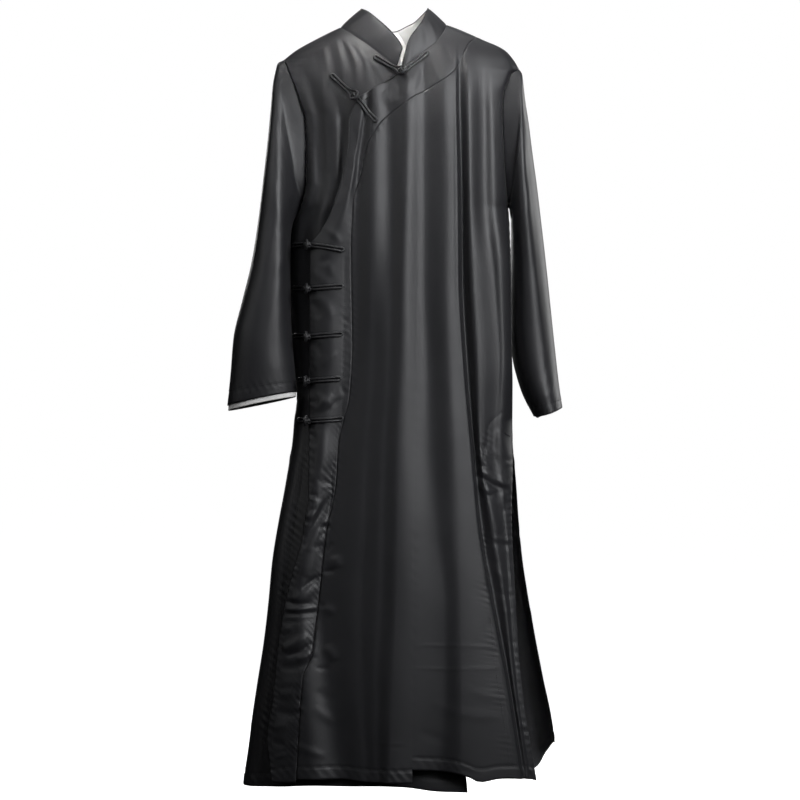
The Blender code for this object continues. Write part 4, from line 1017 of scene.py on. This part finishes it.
def sleeve_relief(k, turn, folds, extra, seed):
    relief = np.zeros_like(k)
    for at, width, start, end, height in folds:
        off = np.abs((turn - at + 180) % 360 - 180)
        along = np.sin(math.pi * np.clip((k - start + 0.6) / (end - start + 1.2), 0, 1))
        relief += height * along * np.where(off < width, (1 + np.cos(math.pi * off / width)) / 2, 0)
    around = turn * PER_DEGREE
    down = k * PER_RING
    for width, height, *line in extra:
        for lap in (-360, 0, 360):
            moved = [((a + lap) * PER_DEGREE, b * PER_RING) for a, b in line]
            relief += creases([(width, 0.45 * height, *moved)], around, down)
    relief += 0.4 * unrest(turn * 1.4, down, 190, seed) * ease(k / 1.5)
    # the armhole seam with its gathers, then the stitched cuff
    relief += -0.8 * np.exp(-(down / 2.2) ** 2)
    relief += 0.5 * ripple(around, 15, seed) * np.exp(-(down / 14) ** 1.5)
    cuff = SLEEVE_RINGS * PER_RING - down
    relief += -0.7 * np.exp(-((cuff - 24) / 1.6) ** 2)
    relief += 0.4 * ripple(around + cuff * 0.5, 16, seed + 1) * np.exp(-((cuff - 22) / 12) ** 2)
    return relief


# width and height of each crease, then angle round the sleeve and ring for each of its points
SLEEVE_LEFT_CREASES = [
    (8, -2.0, (150, 0.3), (120, 1.2), (96, 2.4)), (8, 2.0, (165, 0.4), (140, 1.6), (128, 3.2)),
    (8, 1.4, (60, 0.2), (66, 1.2), (74, 2.2)), (9, -1.2, (30, 0.3), (38, 1.6), (42, 3.0)),
    (10, 1.6, (100, 3.2), (76, 4.4), (62, 5.8)), (9, -1.6, (140, 4.0), (118, 5.0), (98, 5.6)),
    (9, 1.6, (150, 4.8), (126, 6.0), (100, 6.8)), (11, 1.2, (60, 6.4), (70, 7.8), (74, 9.4)),
    (10, -1.1, (120, 7.2), (112, 8.6), (116, 10.0)), (9, 1.0, (24, 4.4), (34, 6.2), (36, 8.2)),
    (10, 1.8, (200, 0.5), (214, 1.8), (230, 3.2)), (10, -1.5, (240, 3.6), (220, 5.0), (206, 6.2)),
    (10, -1.3, (300, 1.0), (290, 2.6), (292, 4.0)), (11, 1.4, (262, 5.2), (250, 6.6), (252, 8.6)),
    (11, 1.1, (320, 4.0), (314, 6.0), (318, 8.6)), (10, 1.2, (212, 6.8), (222, 8.4), (226, 10)),
]
SLEEVE_RIGHT_CREASES = [
    (8, -1.8, (150, 0.3), (124, 1.4), (104, 2.8)), (8, 1.8, (168, 0.6), (150, 2.0), (140, 3.6)),
    (9, 1.2, (62, 0.2), (60, 1.4), (64, 2.8)), (8, -1.2, (34, 0.4), (30, 1.8), (34, 3.2)),
    (11, 1.4, (110, 3.6), (92, 5.0), (86, 6.6)), (9, -1.3, (146, 4.6), (128, 5.6), (112, 6.2)),
    (11, 1.0, (70, 6.6), (66, 8.2), (72, 9.8)), (10, -1.0, (128, 7.4), (120, 9.0), (122, 10.2)),
    (7, 1.2, (40, 9.6), (70, 10.2), (100, 10.3)), (6, -0.9, (60, 9.2), (88, 9.8), (112, 10.0)),
    (10, 1.7, (204, 0.5), (220, 1.8), (232, 3.2)), (10, -1.5, (244, 3.8), (226, 5.2), (208, 6.4)),
    (10, -1.2, (302, 1.2), (292, 2.8), (296, 4.4)), (11, 1.3, (266, 5.4), (254, 6.8), (256, 8.8)),
    (11, 1.0, (322, 4.2), (318, 6.2), (322, 8.8)), (10, 1.2, (216, 7.0), (226, 8.6), (230, 10.2)),
]


ALLOWANCE = 1.6        # the seam allowance reaches this far under the body's cloth


def sleeve_piece(name, table, folds, extra, edge, hole, tip, seed):
    points, k, turn = sleeve_points(table, edge, hole, tip, ARMPIT, *SLEEVE_GRID)
    middle = points.mean(axis=1, keepdims=True)
    outward = points - middle
    normals = facing(normals_of(points, True), outward)
    points = points + normals * sleeve_relief(k, turn, folds, extra, seed)[..., None]
    points[0, :, 0] -= ALLOWANCE * np.sign(points[0, :, 0])
    return cloth_object(name, points, outward, [satin, satin_inside_painted_light], LAYER, wrap=True), points


sleeve_left, sleeve_left_points = sleeve_piece(
    "sleeve_left_cloth", SLEEVE_LEFT, SLEEVE_LEFT_FOLDS, SLEEVE_LEFT_CREASES,
    edge_left, armhole_left, left_tip[1], 1.0)
sleeve_right, sleeve_right_points = sleeve_piece(
    "sleeve_right_cloth", SLEEVE_RIGHT, SLEEVE_RIGHT_FOLDS, SLEEVE_RIGHT_CREASES,
    edge_right, armhole_right, right_tip[1], 2.0)


# Collar
def rise(table):
    return [curve(table, c) for c in (1, 2, 3)]


def collar_base():
    """Points along the collar's seam from the underlap round the back to the overlap, with their rise."""
    parts = []
    for line, height, depth, table in (
            (np.linspace(0, NECK_ENDS[0], 60), neck_left, underlap_y, COLLAR_LEFT),
            (np.linspace(*NECK_ENDS, 91)[1:], neck_back, back_y, COLLAR_BACK)):
        z = height(line)
        parts.append((np.stack([line, depth(line, z), z], 1), rise(table), line))
    seam = path_of(NECK_RIGHT, 61)[1:]
    parts.append((np.stack([seam[:, 0], front_y(seam[:, 0], seam[:, 1]), seam[:, 1]], 1), rise(COLLAR_RIGHT),
                  seam[:, 0]))
    base = np.concatenate([p for p, _, _ in parts])
    up = np.concatenate([np.stack([f(x) for f in up], 1) for _, up, x in parts])
    return base, up


def smooth_rows(values, times, pin=2):
    for _ in range(times):
        inner = values.copy()
        inner[1:-1] = (values[:-2] + 2 * values[1:-1] + values[2:]) / 4
        inner[:pin] = values[:pin]
        inner[-pin:] = values[-pin:]
        values = inner
    return values


collar_low, collar_up = collar_base()
collar_up = smooth_rows(collar_up, 6)
low_run = run_of(collar_low)


# shallow dents and swells of both front halves: place along the collar, level, width, tallness, height
COLLAR_DENTS = [
    (24, 0.45, 9, 0.35, -1.1), (52, 0.62, 12, 0.4, 0.9), (88, 0.4, 10, 0.4, -0.8),
    (372, 0.5, 9, 0.3, -1.0), (392, 0.35, 6, 0.3, 1.0), (345, 0.6, 12, 0.4, 0.8),
    (404, 0.5, 5, 0.4, -0.8),
]


def from_middle(points):
    """Level directions from the middle of the collar's ring."""
    return (points - np.array([-10.0, -10.0, 0.0])) * np.array([1, 1, 0])


def collar_points(rows, start=-0.03, end=1.0):
    level = np.linspace(start, end, rows)[:, None, None]
    points = collar_low[None] + collar_up[None] * level
    back_in = 6.5 * np.clip(1 - level, 0, 1) * np.exp(-(low_run[None, :, None] / 14) ** 2)
    points = points + back_in * np.array([-1.0, 0.0, 0.7])
    outward = from_middle(points)
    normals = facing(normals_of(points), outward)
    level = level[..., 0]
    along = low_run[None, :] + 0 * level
    bulge = 1.1 * np.sin(math.pi * np.clip(level, 0, 1)) + 0 * along
    wrinkle = 0.35 * ripple(along + 14 * level, 27, 2.0) * np.sin(math.pi * np.clip(level, 0, 1))
    for at, high, wide, tall, height in COLLAR_DENTS:
        wrinkle = wrinkle + height * np.exp(-((along - at) / wide) ** 2 - ((level - high) / tall) ** 2)
    rim = -0.6 * np.exp(-((level - end) / 0.05) ** 2) - 0.7 * np.exp(-(level / 0.06) ** 2)
    return points + normals * (bulge + wrinkle + rim)[..., None], normals, outward


collar_grid, _, collar_outward = collar_points(26)
collar = cloth_object("collar_cloth", collar_grid, collar_outward, [satin, satin_inside_painted_light], COLLAR_LAYER)

# The lining stops just below the rim, but stands out past the left half's front edge
inner_rows, inner_normals, _ = collar_points(20, 0.0)
inner_rows = inner_rows - inner_normals * LINING_GAP
lift = unit(inner_rows[-1] - inner_rows[-3])
show = mix(-1.2, LINING_OUT, ease((40 - low_run) / 24))[:, None]
tops = [inner_rows[-1] + lift * show * step for step in (0.5, 1.0)]
lining_grid = np.concatenate([inner_rows[:-1], np.stack(tops)])
front_way = unit(lining_grid[:, 0] - lining_grid[:, 2])
beyond = [lining_grid[:, 0] + front_way * LINING_OUT * share for share in (1.0, 0.66, 0.33)]
lining_grid = np.concatenate([np.stack(beyond, 1), lining_grid[:, :-4]], 1)
collar_lining = cloth_object("collar_lining_cloth", lining_grid, from_middle(lining_grid), [white_cloth],
                             LINING_LAYER)


# Cuff linings
def cuff_lining(name, points, reach):
    normals = facing(normals_of(points, True), points - points.mean(axis=1, keepdims=True))
    rows = [points[i] - normals[i] * LINING_GAP for i in (-14, -9, -5, -2, -1)]
    step = unit(rows[-1] - rows[-3])
    last = rows[-1]
    rows += [last + step * reach * s - normals[-1] * d
             for s, d in ((0.25, 0.1), (0.5, 0.2), (0.75, 0.3), (0.9, 0.3), (1.0, 0.9))]
    grid = np.stack(rows)
    middle = grid.mean(axis=1, keepdims=True)
    return cloth_object(name, grid, grid - middle, [white_cloth], LINING_LAYER, wrap=True)


angles = np.linspace(0, 2 * math.pi, sleeve_right_points.shape[1], endpoint=False)
right_reach = 1.0 + 3.0 * np.exp(-((angles - 2.75) / 0.3) ** 2)
cuff_left = cuff_lining("cuff_lining_left_cloth", sleeve_left_points, CUFF_BEYOND)
cuff_right = cuff_lining("cuff_lining_right_cloth", sleeve_right_points, right_reach[:, None])


# Cords, edgings and stitches lie on the finished cloth
def ground_of(grids):
    points, faces = [], []
    for grid in grids:
        rows, cols = grid.shape[:2]
        first = sum(len(p) for p in points)
        points.append(grid.reshape(-1, 3))
        faces.append(grid_faces(rows, cols) + first)
    return BVHTree.FromPolygons(np.concatenate(points).tolist(), np.concatenate(faces).tolist())


front_ground = ground_of([front_left_points, front_right_points, band_points])
all_front = ground_of([front_left_points, front_right_points, band_points, underlap_points])
under_ground = ground_of([underlap_points])
back_ground = ground_of([back_points])


def on_cloth(ground, x, z, from_front=True):
    way = 1 if from_front else -1
    hit, normal, _, _ = ground.ray_cast(Vector((x, -400 * way, z)), Vector((0, way, 0)), 800)
    if hit is None:
        return None
    if normal.y * way > 0:
        normal = -normal
    return np.array(hit), np.array(normal)


def tube(points, radius, sides, closed=False, twist=0.0, strands=0, depth=0.0):
    """Rings of points round a line, and their faces. Twisted strands show as shallow grooves."""
    points = np.asarray(points, float)
    count = len(points)
    if closed:
        along = np.roll(points, -1, 0) - np.roll(points, 1, 0)
    else:
        along = np.gradient(points, axis=0)
    along = unit(along)
    up = np.zeros_like(points)
    up[0] = unit(np.cross(along[0], (0.31, 0.87, 0.38)))
    for k in range(1, count):
        up[k] = unit(up[k - 1] - along[k] * np.dot(up[k - 1], along[k]))
    if closed:
        last = unit(up[-1] - along[0] * np.dot(up[-1], along[0]))
        turn = math.atan2(np.dot(np.cross(up[0], last), along[0]), np.dot(up[0], last))
        fix = -turn * np.arange(count) / count
        side = np.cross(along, up)
        up = up * np.cos(fix)[:, None] + side * np.sin(fix)[:, None]
    side = np.cross(along, up)
    run = run_of(points)
    angle = np.linspace(0, 2 * math.pi, sides, endpoint=False)[None, :]
    total = run[-1] + (np.linalg.norm(points[0] - points[-1]) if closed else 0)
    turns = round(total * twist) if closed else total * twist
    twisted = 2 * math.pi * turns * run[:, None] / max(total, 1e-6) * max(strands, 1)
    size = radius * (1 - depth * (0.5 + 0.5 * np.cos(strands * angle + twisted)))
    rings = (points[:, None] + up[:, None] * (np.cos(angle) * size)[..., None]
             + side[:, None] * (np.sin(angle) * size)[..., None])
    quads = grid_faces(count + 1 if closed else count, sides, wrap=True)
    if closed:
        quads = np.where(quads >= count * sides, quads - count * sides, quads)
        return rings.reshape(-1, 3), quads.tolist()
    faces = quads.tolist()
    faces.append(list(range(sides))[::-1])
    faces.append(list(range((count - 1) * sides, count * sides)))
    return rings.reshape(-1, 3), faces


def joined(name, parts, materials):
    """One object of several lots of points and faces."""
    points, faces = [], []
    first = 0
    for p, f in parts:
        points.append(p)
        faces += [[i + first for i in face] for face in f]
        first += len(p)
    piece = mesh_object(name, np.concatenate(points), faces, materials)
    work = bmesh.new()
    work.from_mesh(piece.data)
    bmesh.ops.recalc_face_normals(work, faces=work.faces[:])
    work.to_mesh(piece.data)
    work.free()
    return piece


def spaced(points, step, closed=False):
    """Evenly spaced points on a line in space."""
    p = np.asarray(points, float)
    if closed:
        p = np.vstack([p, p[:1]])
    run = run_of(p)
    count = max(int(run[-1] / step), 3)
    at = np.linspace(0, run[-1], count + 1)
    return places_on(p, run, at[:-1] if closed else at)


def smoothed(points, times, closed=False):
    p = np.asarray(points, float)
    for _ in range(times):
        q = (np.roll(p, 1, 0) + 2 * p + np.roll(p, -1, 0)) / 4
        if not closed:
            q[0], q[-1] = p[0], p[-1]
        p = q
    return p


# Edging along the collar's rim and the overlap's edge, darker than the gown's satin: painted shade along
# these edges
RIM_EDGING = 1.15
OVERLAP_EDGING = 1.1
rim = collar_grid[-1]
rim_line = np.concatenate([collar_grid[2:, 0], rim[1:-1], collar_grid[2:, -1][::-1]])
rim_line = smoothed(spaced(rim_line, 2.0), 2)
edging = [tube(rim_line, RIM_EDGING, 8)]
over = [on_cloth(front_ground, x, z) for x, z in path_of(edge_line[6:16], 170)]
over_line = np.array([p + n * 0.2 for p, n in [hit for hit in over if hit]])
edging.append(tube(smoothed(spaced(over_line, 2.5), 2), OVERLAP_EDGING, 8))
collar_edging = joined("collar_and_overlap_edging", edging, [painted_shade_piping_cloth])


# Cord fastenings
def wide_normal(depth_of, x, z):
    y = depth_of(np.array([x - 8.0, x + 8.0, x, x]), np.array([z, z, z - 8.0, z + 8.0]))
    n = unit(np.cross((16.0, y[1] - y[0], 0.0), (0.0, y[3] - y[2], 16.0)))
    return n if n[1] < 0 else -n


def height_over(ground, p, n):
    hit = ground.ray_cast(Vector(p + n * 40), Vector(-n), 80)[0]
    return float(np.dot(p - np.array(hit), n)) if hit else 40.0


def seated(centre, outs, least):
    """Raises a closed line of points until its cord lies on the cloth."""
    for _ in range(3):
        lifts = np.zeros(len(centre))
        for k, (p, n) in enumerate(zip(centre, outs)):
            side = CORD * unit(np.cross(np.roll(centre, -1, 0)[k] - p, n))
            lifts[k] = max(0.0, least - min(height_over(all_front, p + side * s, n) for s in (-1, 0, 1)))
        lifts = np.maximum(lifts, 0.7 * np.maximum(np.roll(lifts, 1), np.roll(lifts, -1)))
        centre = centre + outs * lifts[:, None]
    return centre


def cord_loop(path, normals, half_gap, end_gap, least):
    """A closed line that runs down one side of a path and back up the other."""
    path = np.asarray(path, float)
    normals = np.asarray(normals, float)
    along = unit(np.gradient(path, axis=0))
    side = unit(np.cross(along, normals))
    share = np.linspace(0, 1, len(path))
    # the tail's end opens into a small eye, the middle runs close, the other end opens round the knot
    spread = half_gap * (1 + 0.35 * np.exp(-(share / 0.13) ** 2))
    spread = mix(spread, end_gap, ease((share - 0.72) / 0.28))
    go = path + side * spread[:, None]
    come = (path - side * spread[:, None])[::-1]
    turns = [math.radians(a) for a in range(20, 180, 20)]
    end = [path[-1] + (side[-1] * math.cos(a) + along[-1] * math.sin(a)) * spread[-1] for a in turns]
    start = [path[0] - (side[0] * math.cos(a) + along[0] * math.sin(a)) * spread[0] for a in turns]
    line = np.vstack([go, end, come, start])
    outs = np.vstack([normals, np.tile(normals[-1], (len(end), 1)), normals[::-1],
                      np.tile(normals[0], (len(start), 1))])
    line = seated(line, outs, least)
    return smoothed(spaced(smoothed(line, 2, True), 1.1, True), 3, True)


def turks_head(centre, out, radius, thick):
    """A round knot: one cord wound over and under itself around a ball."""
    t = np.linspace(0, 2 * math.pi, 150, endpoint=False)
    turn = 3 * t
    tilt = 0.95 * np.sin(4 * t)
    lift = radius * (1 + 0.17 * np.cos(8 * t + 0.4))
    flat = np.cos(tilt) * lift
    local = np.stack([np.cos(turn) * flat, np.sin(turn) * flat, np.sin(tilt) * lift], 1)
    side = unit(np.cross(out, (0.2, 0.1, 1.0)))
    other = np.cross(out, side)
    line = centre + local[:, :1] * side + local[:, 1:2] * out + local[:, 2:] * other
    return tube(line, thick, 7, closed=True)


def core_ball(centre, radius):
    ball = bmesh.new()
    bmesh.ops.create_icosphere(ball, subdivisions=3, radius=radius)
    points = np.array([v.co[:] for v in ball.verts]) + centre
    faces = [[v.index for v in f.verts] for f in ball.faces]
    ball.free()
    return points, faces


PAIR = CORD + 0.1      # half the gap between the two runs of a cord
REST = CORD + 0.1      # height of its middle over the cloth
RING = KNOT + CORD     # half the gap where the loop opens round the knot
TWIST = 0.06           # turns of its strands for each millimetre


def laid(depth_of, start, end, share):
    """Places on the cloth on the way from start to end, and the cloth's directions outwards there."""
    x, z = mix(start[0], end[0], share), mix(start[1], end[1], share)
    return np.stack([x, depth_of(x, z), z], 1), np.array([wide_normal(depth_of, a, b) for a, b in zip(x, z)])


def beside_seam(height):
    """The same for the loop of a side fastening, which starts on the underlap by the side seam."""
    z = np.full(7, height + 2.0)
    share = np.linspace(0.94, 0.86, 7)
    x = (edge_left(z) + edge_right(z)) / 2 - share * (edge_right(z) - edge_left(z)) / 2
    y = underlap_y(x, z)
    slope = underlap_y(x + 1, z) - y
    return np.stack([x, y, z], 1), unit(np.stack([slope, -np.ones(7), np.zeros(7)], 1))


def cord(line):
    return tube(line, CORD, 10, closed=True, twist=TWIST, strands=2, depth=0.12)


def knot_half(name, tail, knot, ball, out):
    path, normals = laid(front_y, tail, knot, np.linspace(0, 0.93, 16))
    parts = [cord(cord_loop(path, normals, PAIR, PAIR, REST)),
             turks_head(ball, out, KNOT * 0.8, KNOT * 0.34), core_ball(ball, KNOT * 0.8)]
    return joined(f"frog_{name}_knot_cord", parts, [cord_cloth])


def loop_half(name, tail, knot, ball, out):
    if tail:
        path, normals = laid(underlap_y, tail, knot, np.linspace(0, 0.6, 10))
    else:
        path, normals = beside_seam(knot[1])
    # from the underlap the loop rises to the knot
    bridge = np.linspace(0, 1, 8)[1:, None]
    end = ball + out * 3.3
    path = np.vstack([path, path[-1] + (end - path[-1]) * bridge])
    normals = np.vstack([normals, unit(normals[-1] + (out - normals[-1]) * bridge)])
    return joined(f"frog_{name}_loop_cord", [cord(cord_loop(path, normals, PAIR, RING, REST))], [cord_cloth])


fastenings = []
for name, tail, knot, loop_tail in FASTENINGS:
    out = wide_normal(front_y, *knot)
    depth = float(front_y(np.array([knot[0]], float), np.array([knot[1]], float))[0])
    ball = np.array([knot[0], depth, knot[1]])
    ball = ball + out * (KNOT + 0.5 - min(height_over(all_front, ball, out), 0.0))
    knotted = knot_half(name, tail, knot, ball, out)
    looped = loop_half(name, loop_tail, knot, ball, out)
    fastenings.append((name, knotted, looped))


# Stitches
def stitch(at, along, normal, length, radius):
    """One short thread that dips into the cloth at both ends."""
    side = np.cross(along, normal)
    share = np.array([-0.5, -0.36, 0.0, 0.36, 0.5])
    drop = np.array([-0.35, 0.12, 0.3, 0.12, -0.35])
    points = at + along * (share * length)[:, None] + normal * drop[:, None]
    angle = np.linspace(0, 2 * math.pi, 5, endpoint=False)
    size = radius * np.array([0.5, 1.0, 1.0, 1.0, 0.5])
    rings = (points[:, None] + side * (np.cos(angle) * size[:, None])[..., None]
             + normal * (np.sin(angle) * size[:, None])[..., None])
    faces = grid_faces(5, 5, wrap=True).tolist() + [[4, 3, 2, 1, 0], [20, 21, 22, 23, 24]]
    return rings.reshape(-1, 3), faces


PITCH = 4.2            # from stitch to stitch
STITCH = 2.9           # length of a stitch
THREAD = 0.28          # its radius


def stitches(name, lines):
    """Rows of stitches, each from the cloth it lies on, a line of places and the side it is seen from."""
    parts = []
    for ground, line, from_front in lines:
        line = rounded(line, 10)
        run = run_of(line)
        places = places_on(line, run, np.arange(PITCH, run[-1], PITCH))
        hits = [on_cloth(ground, x, z, from_front) for x, z in places]
        for before, hit, after in zip(hits, hits[1:], hits[2:]):
            if before is None or hit is None or after is None:
                continue
            along = after[0] - before[0]
            size = np.linalg.norm(along)
            if size > 3 * PITCH:
                continue
            parts.append(stitch(hit[0], along / size, hit[1], STITCH, THREAD))
    return joined(name, parts, [thread])


def hem_line(hem, start, end, height):
    x = np.linspace(start, end, 40)
    return np.stack([x, hem(x) + height], 1)


def inset_of(edge, low, high, inset, count=40):
    z = np.linspace(high, low, count)
    return np.stack([edge(z) + inset, z], 1)


front_stitches = stitches("front_stitches", [
    (front_ground, hem_line(hem_front_right, -222, 20, HEM_STITCHES), True),
    (front_ground, hem_line(hem_front_left, 24, 236, HEM_STITCHES), True),
    (front_ground, SLIT_LEFT, True), (front_ground, TOPSTITCH, True), (front_ground, SLIT_RIGHT, True),
])
underlap_stitches = stitches("underlap_stitches", [
    (under_ground, hem_line(hem_underlap, -276, 116, HEM_STITCHES), True),
    (under_ground, inset_of(edge_left, -1330, -740, SLIT_STITCHES), True),
    (under_ground, inset_of(underlap_free, -1335, -90, -14), True),
])
back_stitches = stitches("back_stitches", [
    (back_ground, hem_line(hem_back, -276, 262, HEM_STITCHES), False),
    (back_ground, inset_of(edge_left, -1320, -740, SLIT_STITCHES), False),
    (back_ground, inset_of(edge_right, -1300, -740, -SLIT_STITCHES), False),
])


def ring_stitches(name, points, row):
    normals = facing(normals_of(points, True), points - points.mean(axis=1, keepdims=True))[row]
    line = np.vstack([points[row], points[row][:1]])
    run = run_of(line)
    at = np.arange(0, run[-1] - 4, PITCH)
    here = places_on(line, run, at)
    along = unit(places_on(line, run, at + 2) - here)
    outs = unit(places_on(np.vstack([normals, normals[:1]]), run, at))
    return joined(name, [stitch(p, a, n, STITCH, THREAD) for p, a, n in zip(here, along, outs)], [thread])


CUFF_ROW = -8
sleeve_left_stitches = ring_stitches("sleeve_left_stitches", sleeve_left_points, CUFF_ROW)
sleeve_right_stitches = ring_stitches("sleeve_right_stitches", sleeve_right_points, CUFF_ROW)


# Bar tack at the top of the right slit
TACK_START = (505, 433)
TACK_END = (511, 437)
TACK_LEAN = np.array([0.35, 0.0, 0.94])
tack_parts = []
for x, z in seen([mix(np.array(TACK_START), np.array(TACK_END), share) for share in np.linspace(0, 1, 9)]):
    hit = on_cloth(front_ground, min(x, float(edge_right(z)) - 2), z)
    if hit:
        tack_parts.append(stitch(hit[0] + hit[1] * 0.2, TACK_LEAN, hit[1], 3.4, 0.4))
bar_tack = joined("slit_bar_tack", tack_parts, [thread])


# What each piece stands for: piece, node, flat width and length of the cut, area, trimmings on it, slot
CLOTH = [
    (front_left, "front_left", (0.27, 1.34), 0.276, (front_stitches, bar_tack), "satin"),
    (front_right, "front_right", (0.22, 1.24), 0.178, (), "satin"),
    (band, "overlap_band", (0.20, 1.46), 0.093, (collar_edging,), "satin"),
    (underlap, "underlap", (0.44, 1.37), 0.405, (underlap_stitches,), "satin"),
    (back, "back", (0.68, 1.38), 0.68, (back_stitches,), "satin"),
    (sleeve_left, "sleeve_left", (0.36, 0.63), 0.16, (sleeve_left_stitches,), "satin"),
    (sleeve_right, "sleeve_right", (0.36, 0.66), 0.16, (sleeve_right_stitches,), "satin"),
    (collar, "collar", (0.45, 0.055), 0.02, (), "satin"),
    (collar_lining, "collar_lining", (0.44, 0.05), 0.0205, (), "white_lining"),
    (cuff_left, "cuff_lining_left", (0.27, 0.06), 0.0145, (), "white_lining"),
    (cuff_right, "cuff_lining_right", (0.26, 0.05), 0.0115, (), "white_lining"),
]
for piece, stands_for, flat, area, on_it, slot in CLOTH:
    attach(piece, "root")
    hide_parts(stands_for)
for name, knotted, looped in fastenings:
    for piece, end in ((knotted, "knot"), (looped, "loop")):
        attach(piece, "root")
        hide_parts(f"frog_{name}_{end}")
for piece in (collar_edging, front_stitches, underlap_stitches, back_stitches, sleeve_left_stitches,
              sleeve_right_stitches, bar_tack):
    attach(piece, "root")


# Floor, light and camera
def soft_light(name, place, aim, width, height, power, colour, spread):
    data = bpy.data.lights.new(name, "AREA")
    data.spread = math.radians(spread)
    data.shape = "RECTANGLE"
    data.size = width
    data.size_y = height
    data.energy = power
    data.color = colour
    light = bpy.data.objects.new(name, data)
    bpy.context.scene.collection.objects.link(light)
    light.location = place
    light.rotation_euler = (Vector(aim) - Vector(place)).to_track_quat("-Z", "Y").to_euler()


FLOOR_HEIGHT = -1.62
FLOOR_RADIUS = 60.0
floor_mesh = bmesh.new()
bmesh.ops.create_circle(floor_mesh, cap_ends=True, segments=96, radius=FLOOR_RADIUS)
floor_data = bpy.data.meshes.new("floor")
floor_mesh.to_mesh(floor_data)
floor_mesh.free()
floor = bpy.data.objects.new("floor", floor_data)
bpy.context.scene.collection.objects.link(floor)
floor.location = (0.0, 0.0, FLOOR_HEIGHT)
floor_look = bpy.data.materials.new("pale_floor")
floor_look.use_nodes = True
paint = floor_look.node_tree.nodes["Principled BSDF"]
paint.inputs["Base Color"].default_value = (0.9, 0.9, 0.9, 1)
paint.inputs["Roughness"].default_value = 0.9
paint.inputs["Emission Color"].default_value = (1, 1, 1, 1)
paint.inputs["Emission Strength"].default_value = 1.0
floor_data.materials.append(floor_look)
floor.visible_diffuse = False
floor.visible_glossy = False

world = bpy.data.worlds.new("studio")
bpy.context.scene.world = world
world.use_nodes = True
world.node_tree.nodes["Background"].inputs["Color"].default_value = (1, 1, 1, 1)
world.node_tree.nodes["Background"].inputs["Strength"].default_value = 1.0
world.cycles_visibility.diffuse = False
world.cycles_visibility.glossy = False

COOL = (0.97, 0.98, 1.0)
WHITE = (1.0, 1.0, 1.0)
# name, place, aim, width, height, power, colour, spread
LIGHTS = [
    ("key", (2.0, -2.3, 0.8), (0.0, 0.0, 0.02), 1.5, 1.8, 25, COOL, 85),
    ("front_fill", (0.5, -4.4, 0.5), (0.0, 0.0, -0.7), 2.6, 2.2, 5.5, (0.96, 0.98, 1.0), 180),
    ("upper_left", (-1.4, -1.9, 0.9), (-0.16, 0.0, -0.2), 2.0, 1.0, 1.4, COOL, 50),
    ("collar_light", (-0.25, -1.1, 1.4), (0.02, 0.03, -0.01), 0.3, 0.3, 0.5, (1.0, 0.99, 0.97), 16),
    ("slit_light", (0.55, -2.0, 0.55), (0.3, 0.05, -1.12), 0.4, 0.4, 0.24, (0.98, 0.98, 1.0), 25),
    ("left_fill", (-2.6, -0.9, 0.5), (0.0, 0.0, -0.4), 1.2, 1.8, 7, WHITE, 180),
    ("top", (0.2, 0.2, 2.2), (0.0, 0.0, -0.3), 1.6, 1.6, 22, WHITE, 180),
    ("back_left", (-0.9, 3.4, 0.7), (0.0, 0.0, -0.5), 1.6, 1.8, 44, WHITE, 180),
    ("back_right", (2.4, 2.2, 0.2), (0.0, 0.0, -0.7), 1.0, 1.6, 26, WHITE, 180),
]
for light in LIGHTS:
    soft_light(*light)

camera_data = bpy.data.cameras.new("camera")
camera_data.lens = 125
camera_data.sensor_width = 36
camera = bpy.data.objects.new("camera", camera_data)
bpy.context.scene.collection.objects.link(camera)
camera.location = (0.0, -CAMERA_AWAY * MM, CAMERA_HEIGHT * MM)
camera.rotation_euler = (math.radians(90), 0.0, 0.0)
bpy.context.scene.camera = camera
bpy.context.scene.view_settings.view_transform = "Standard"
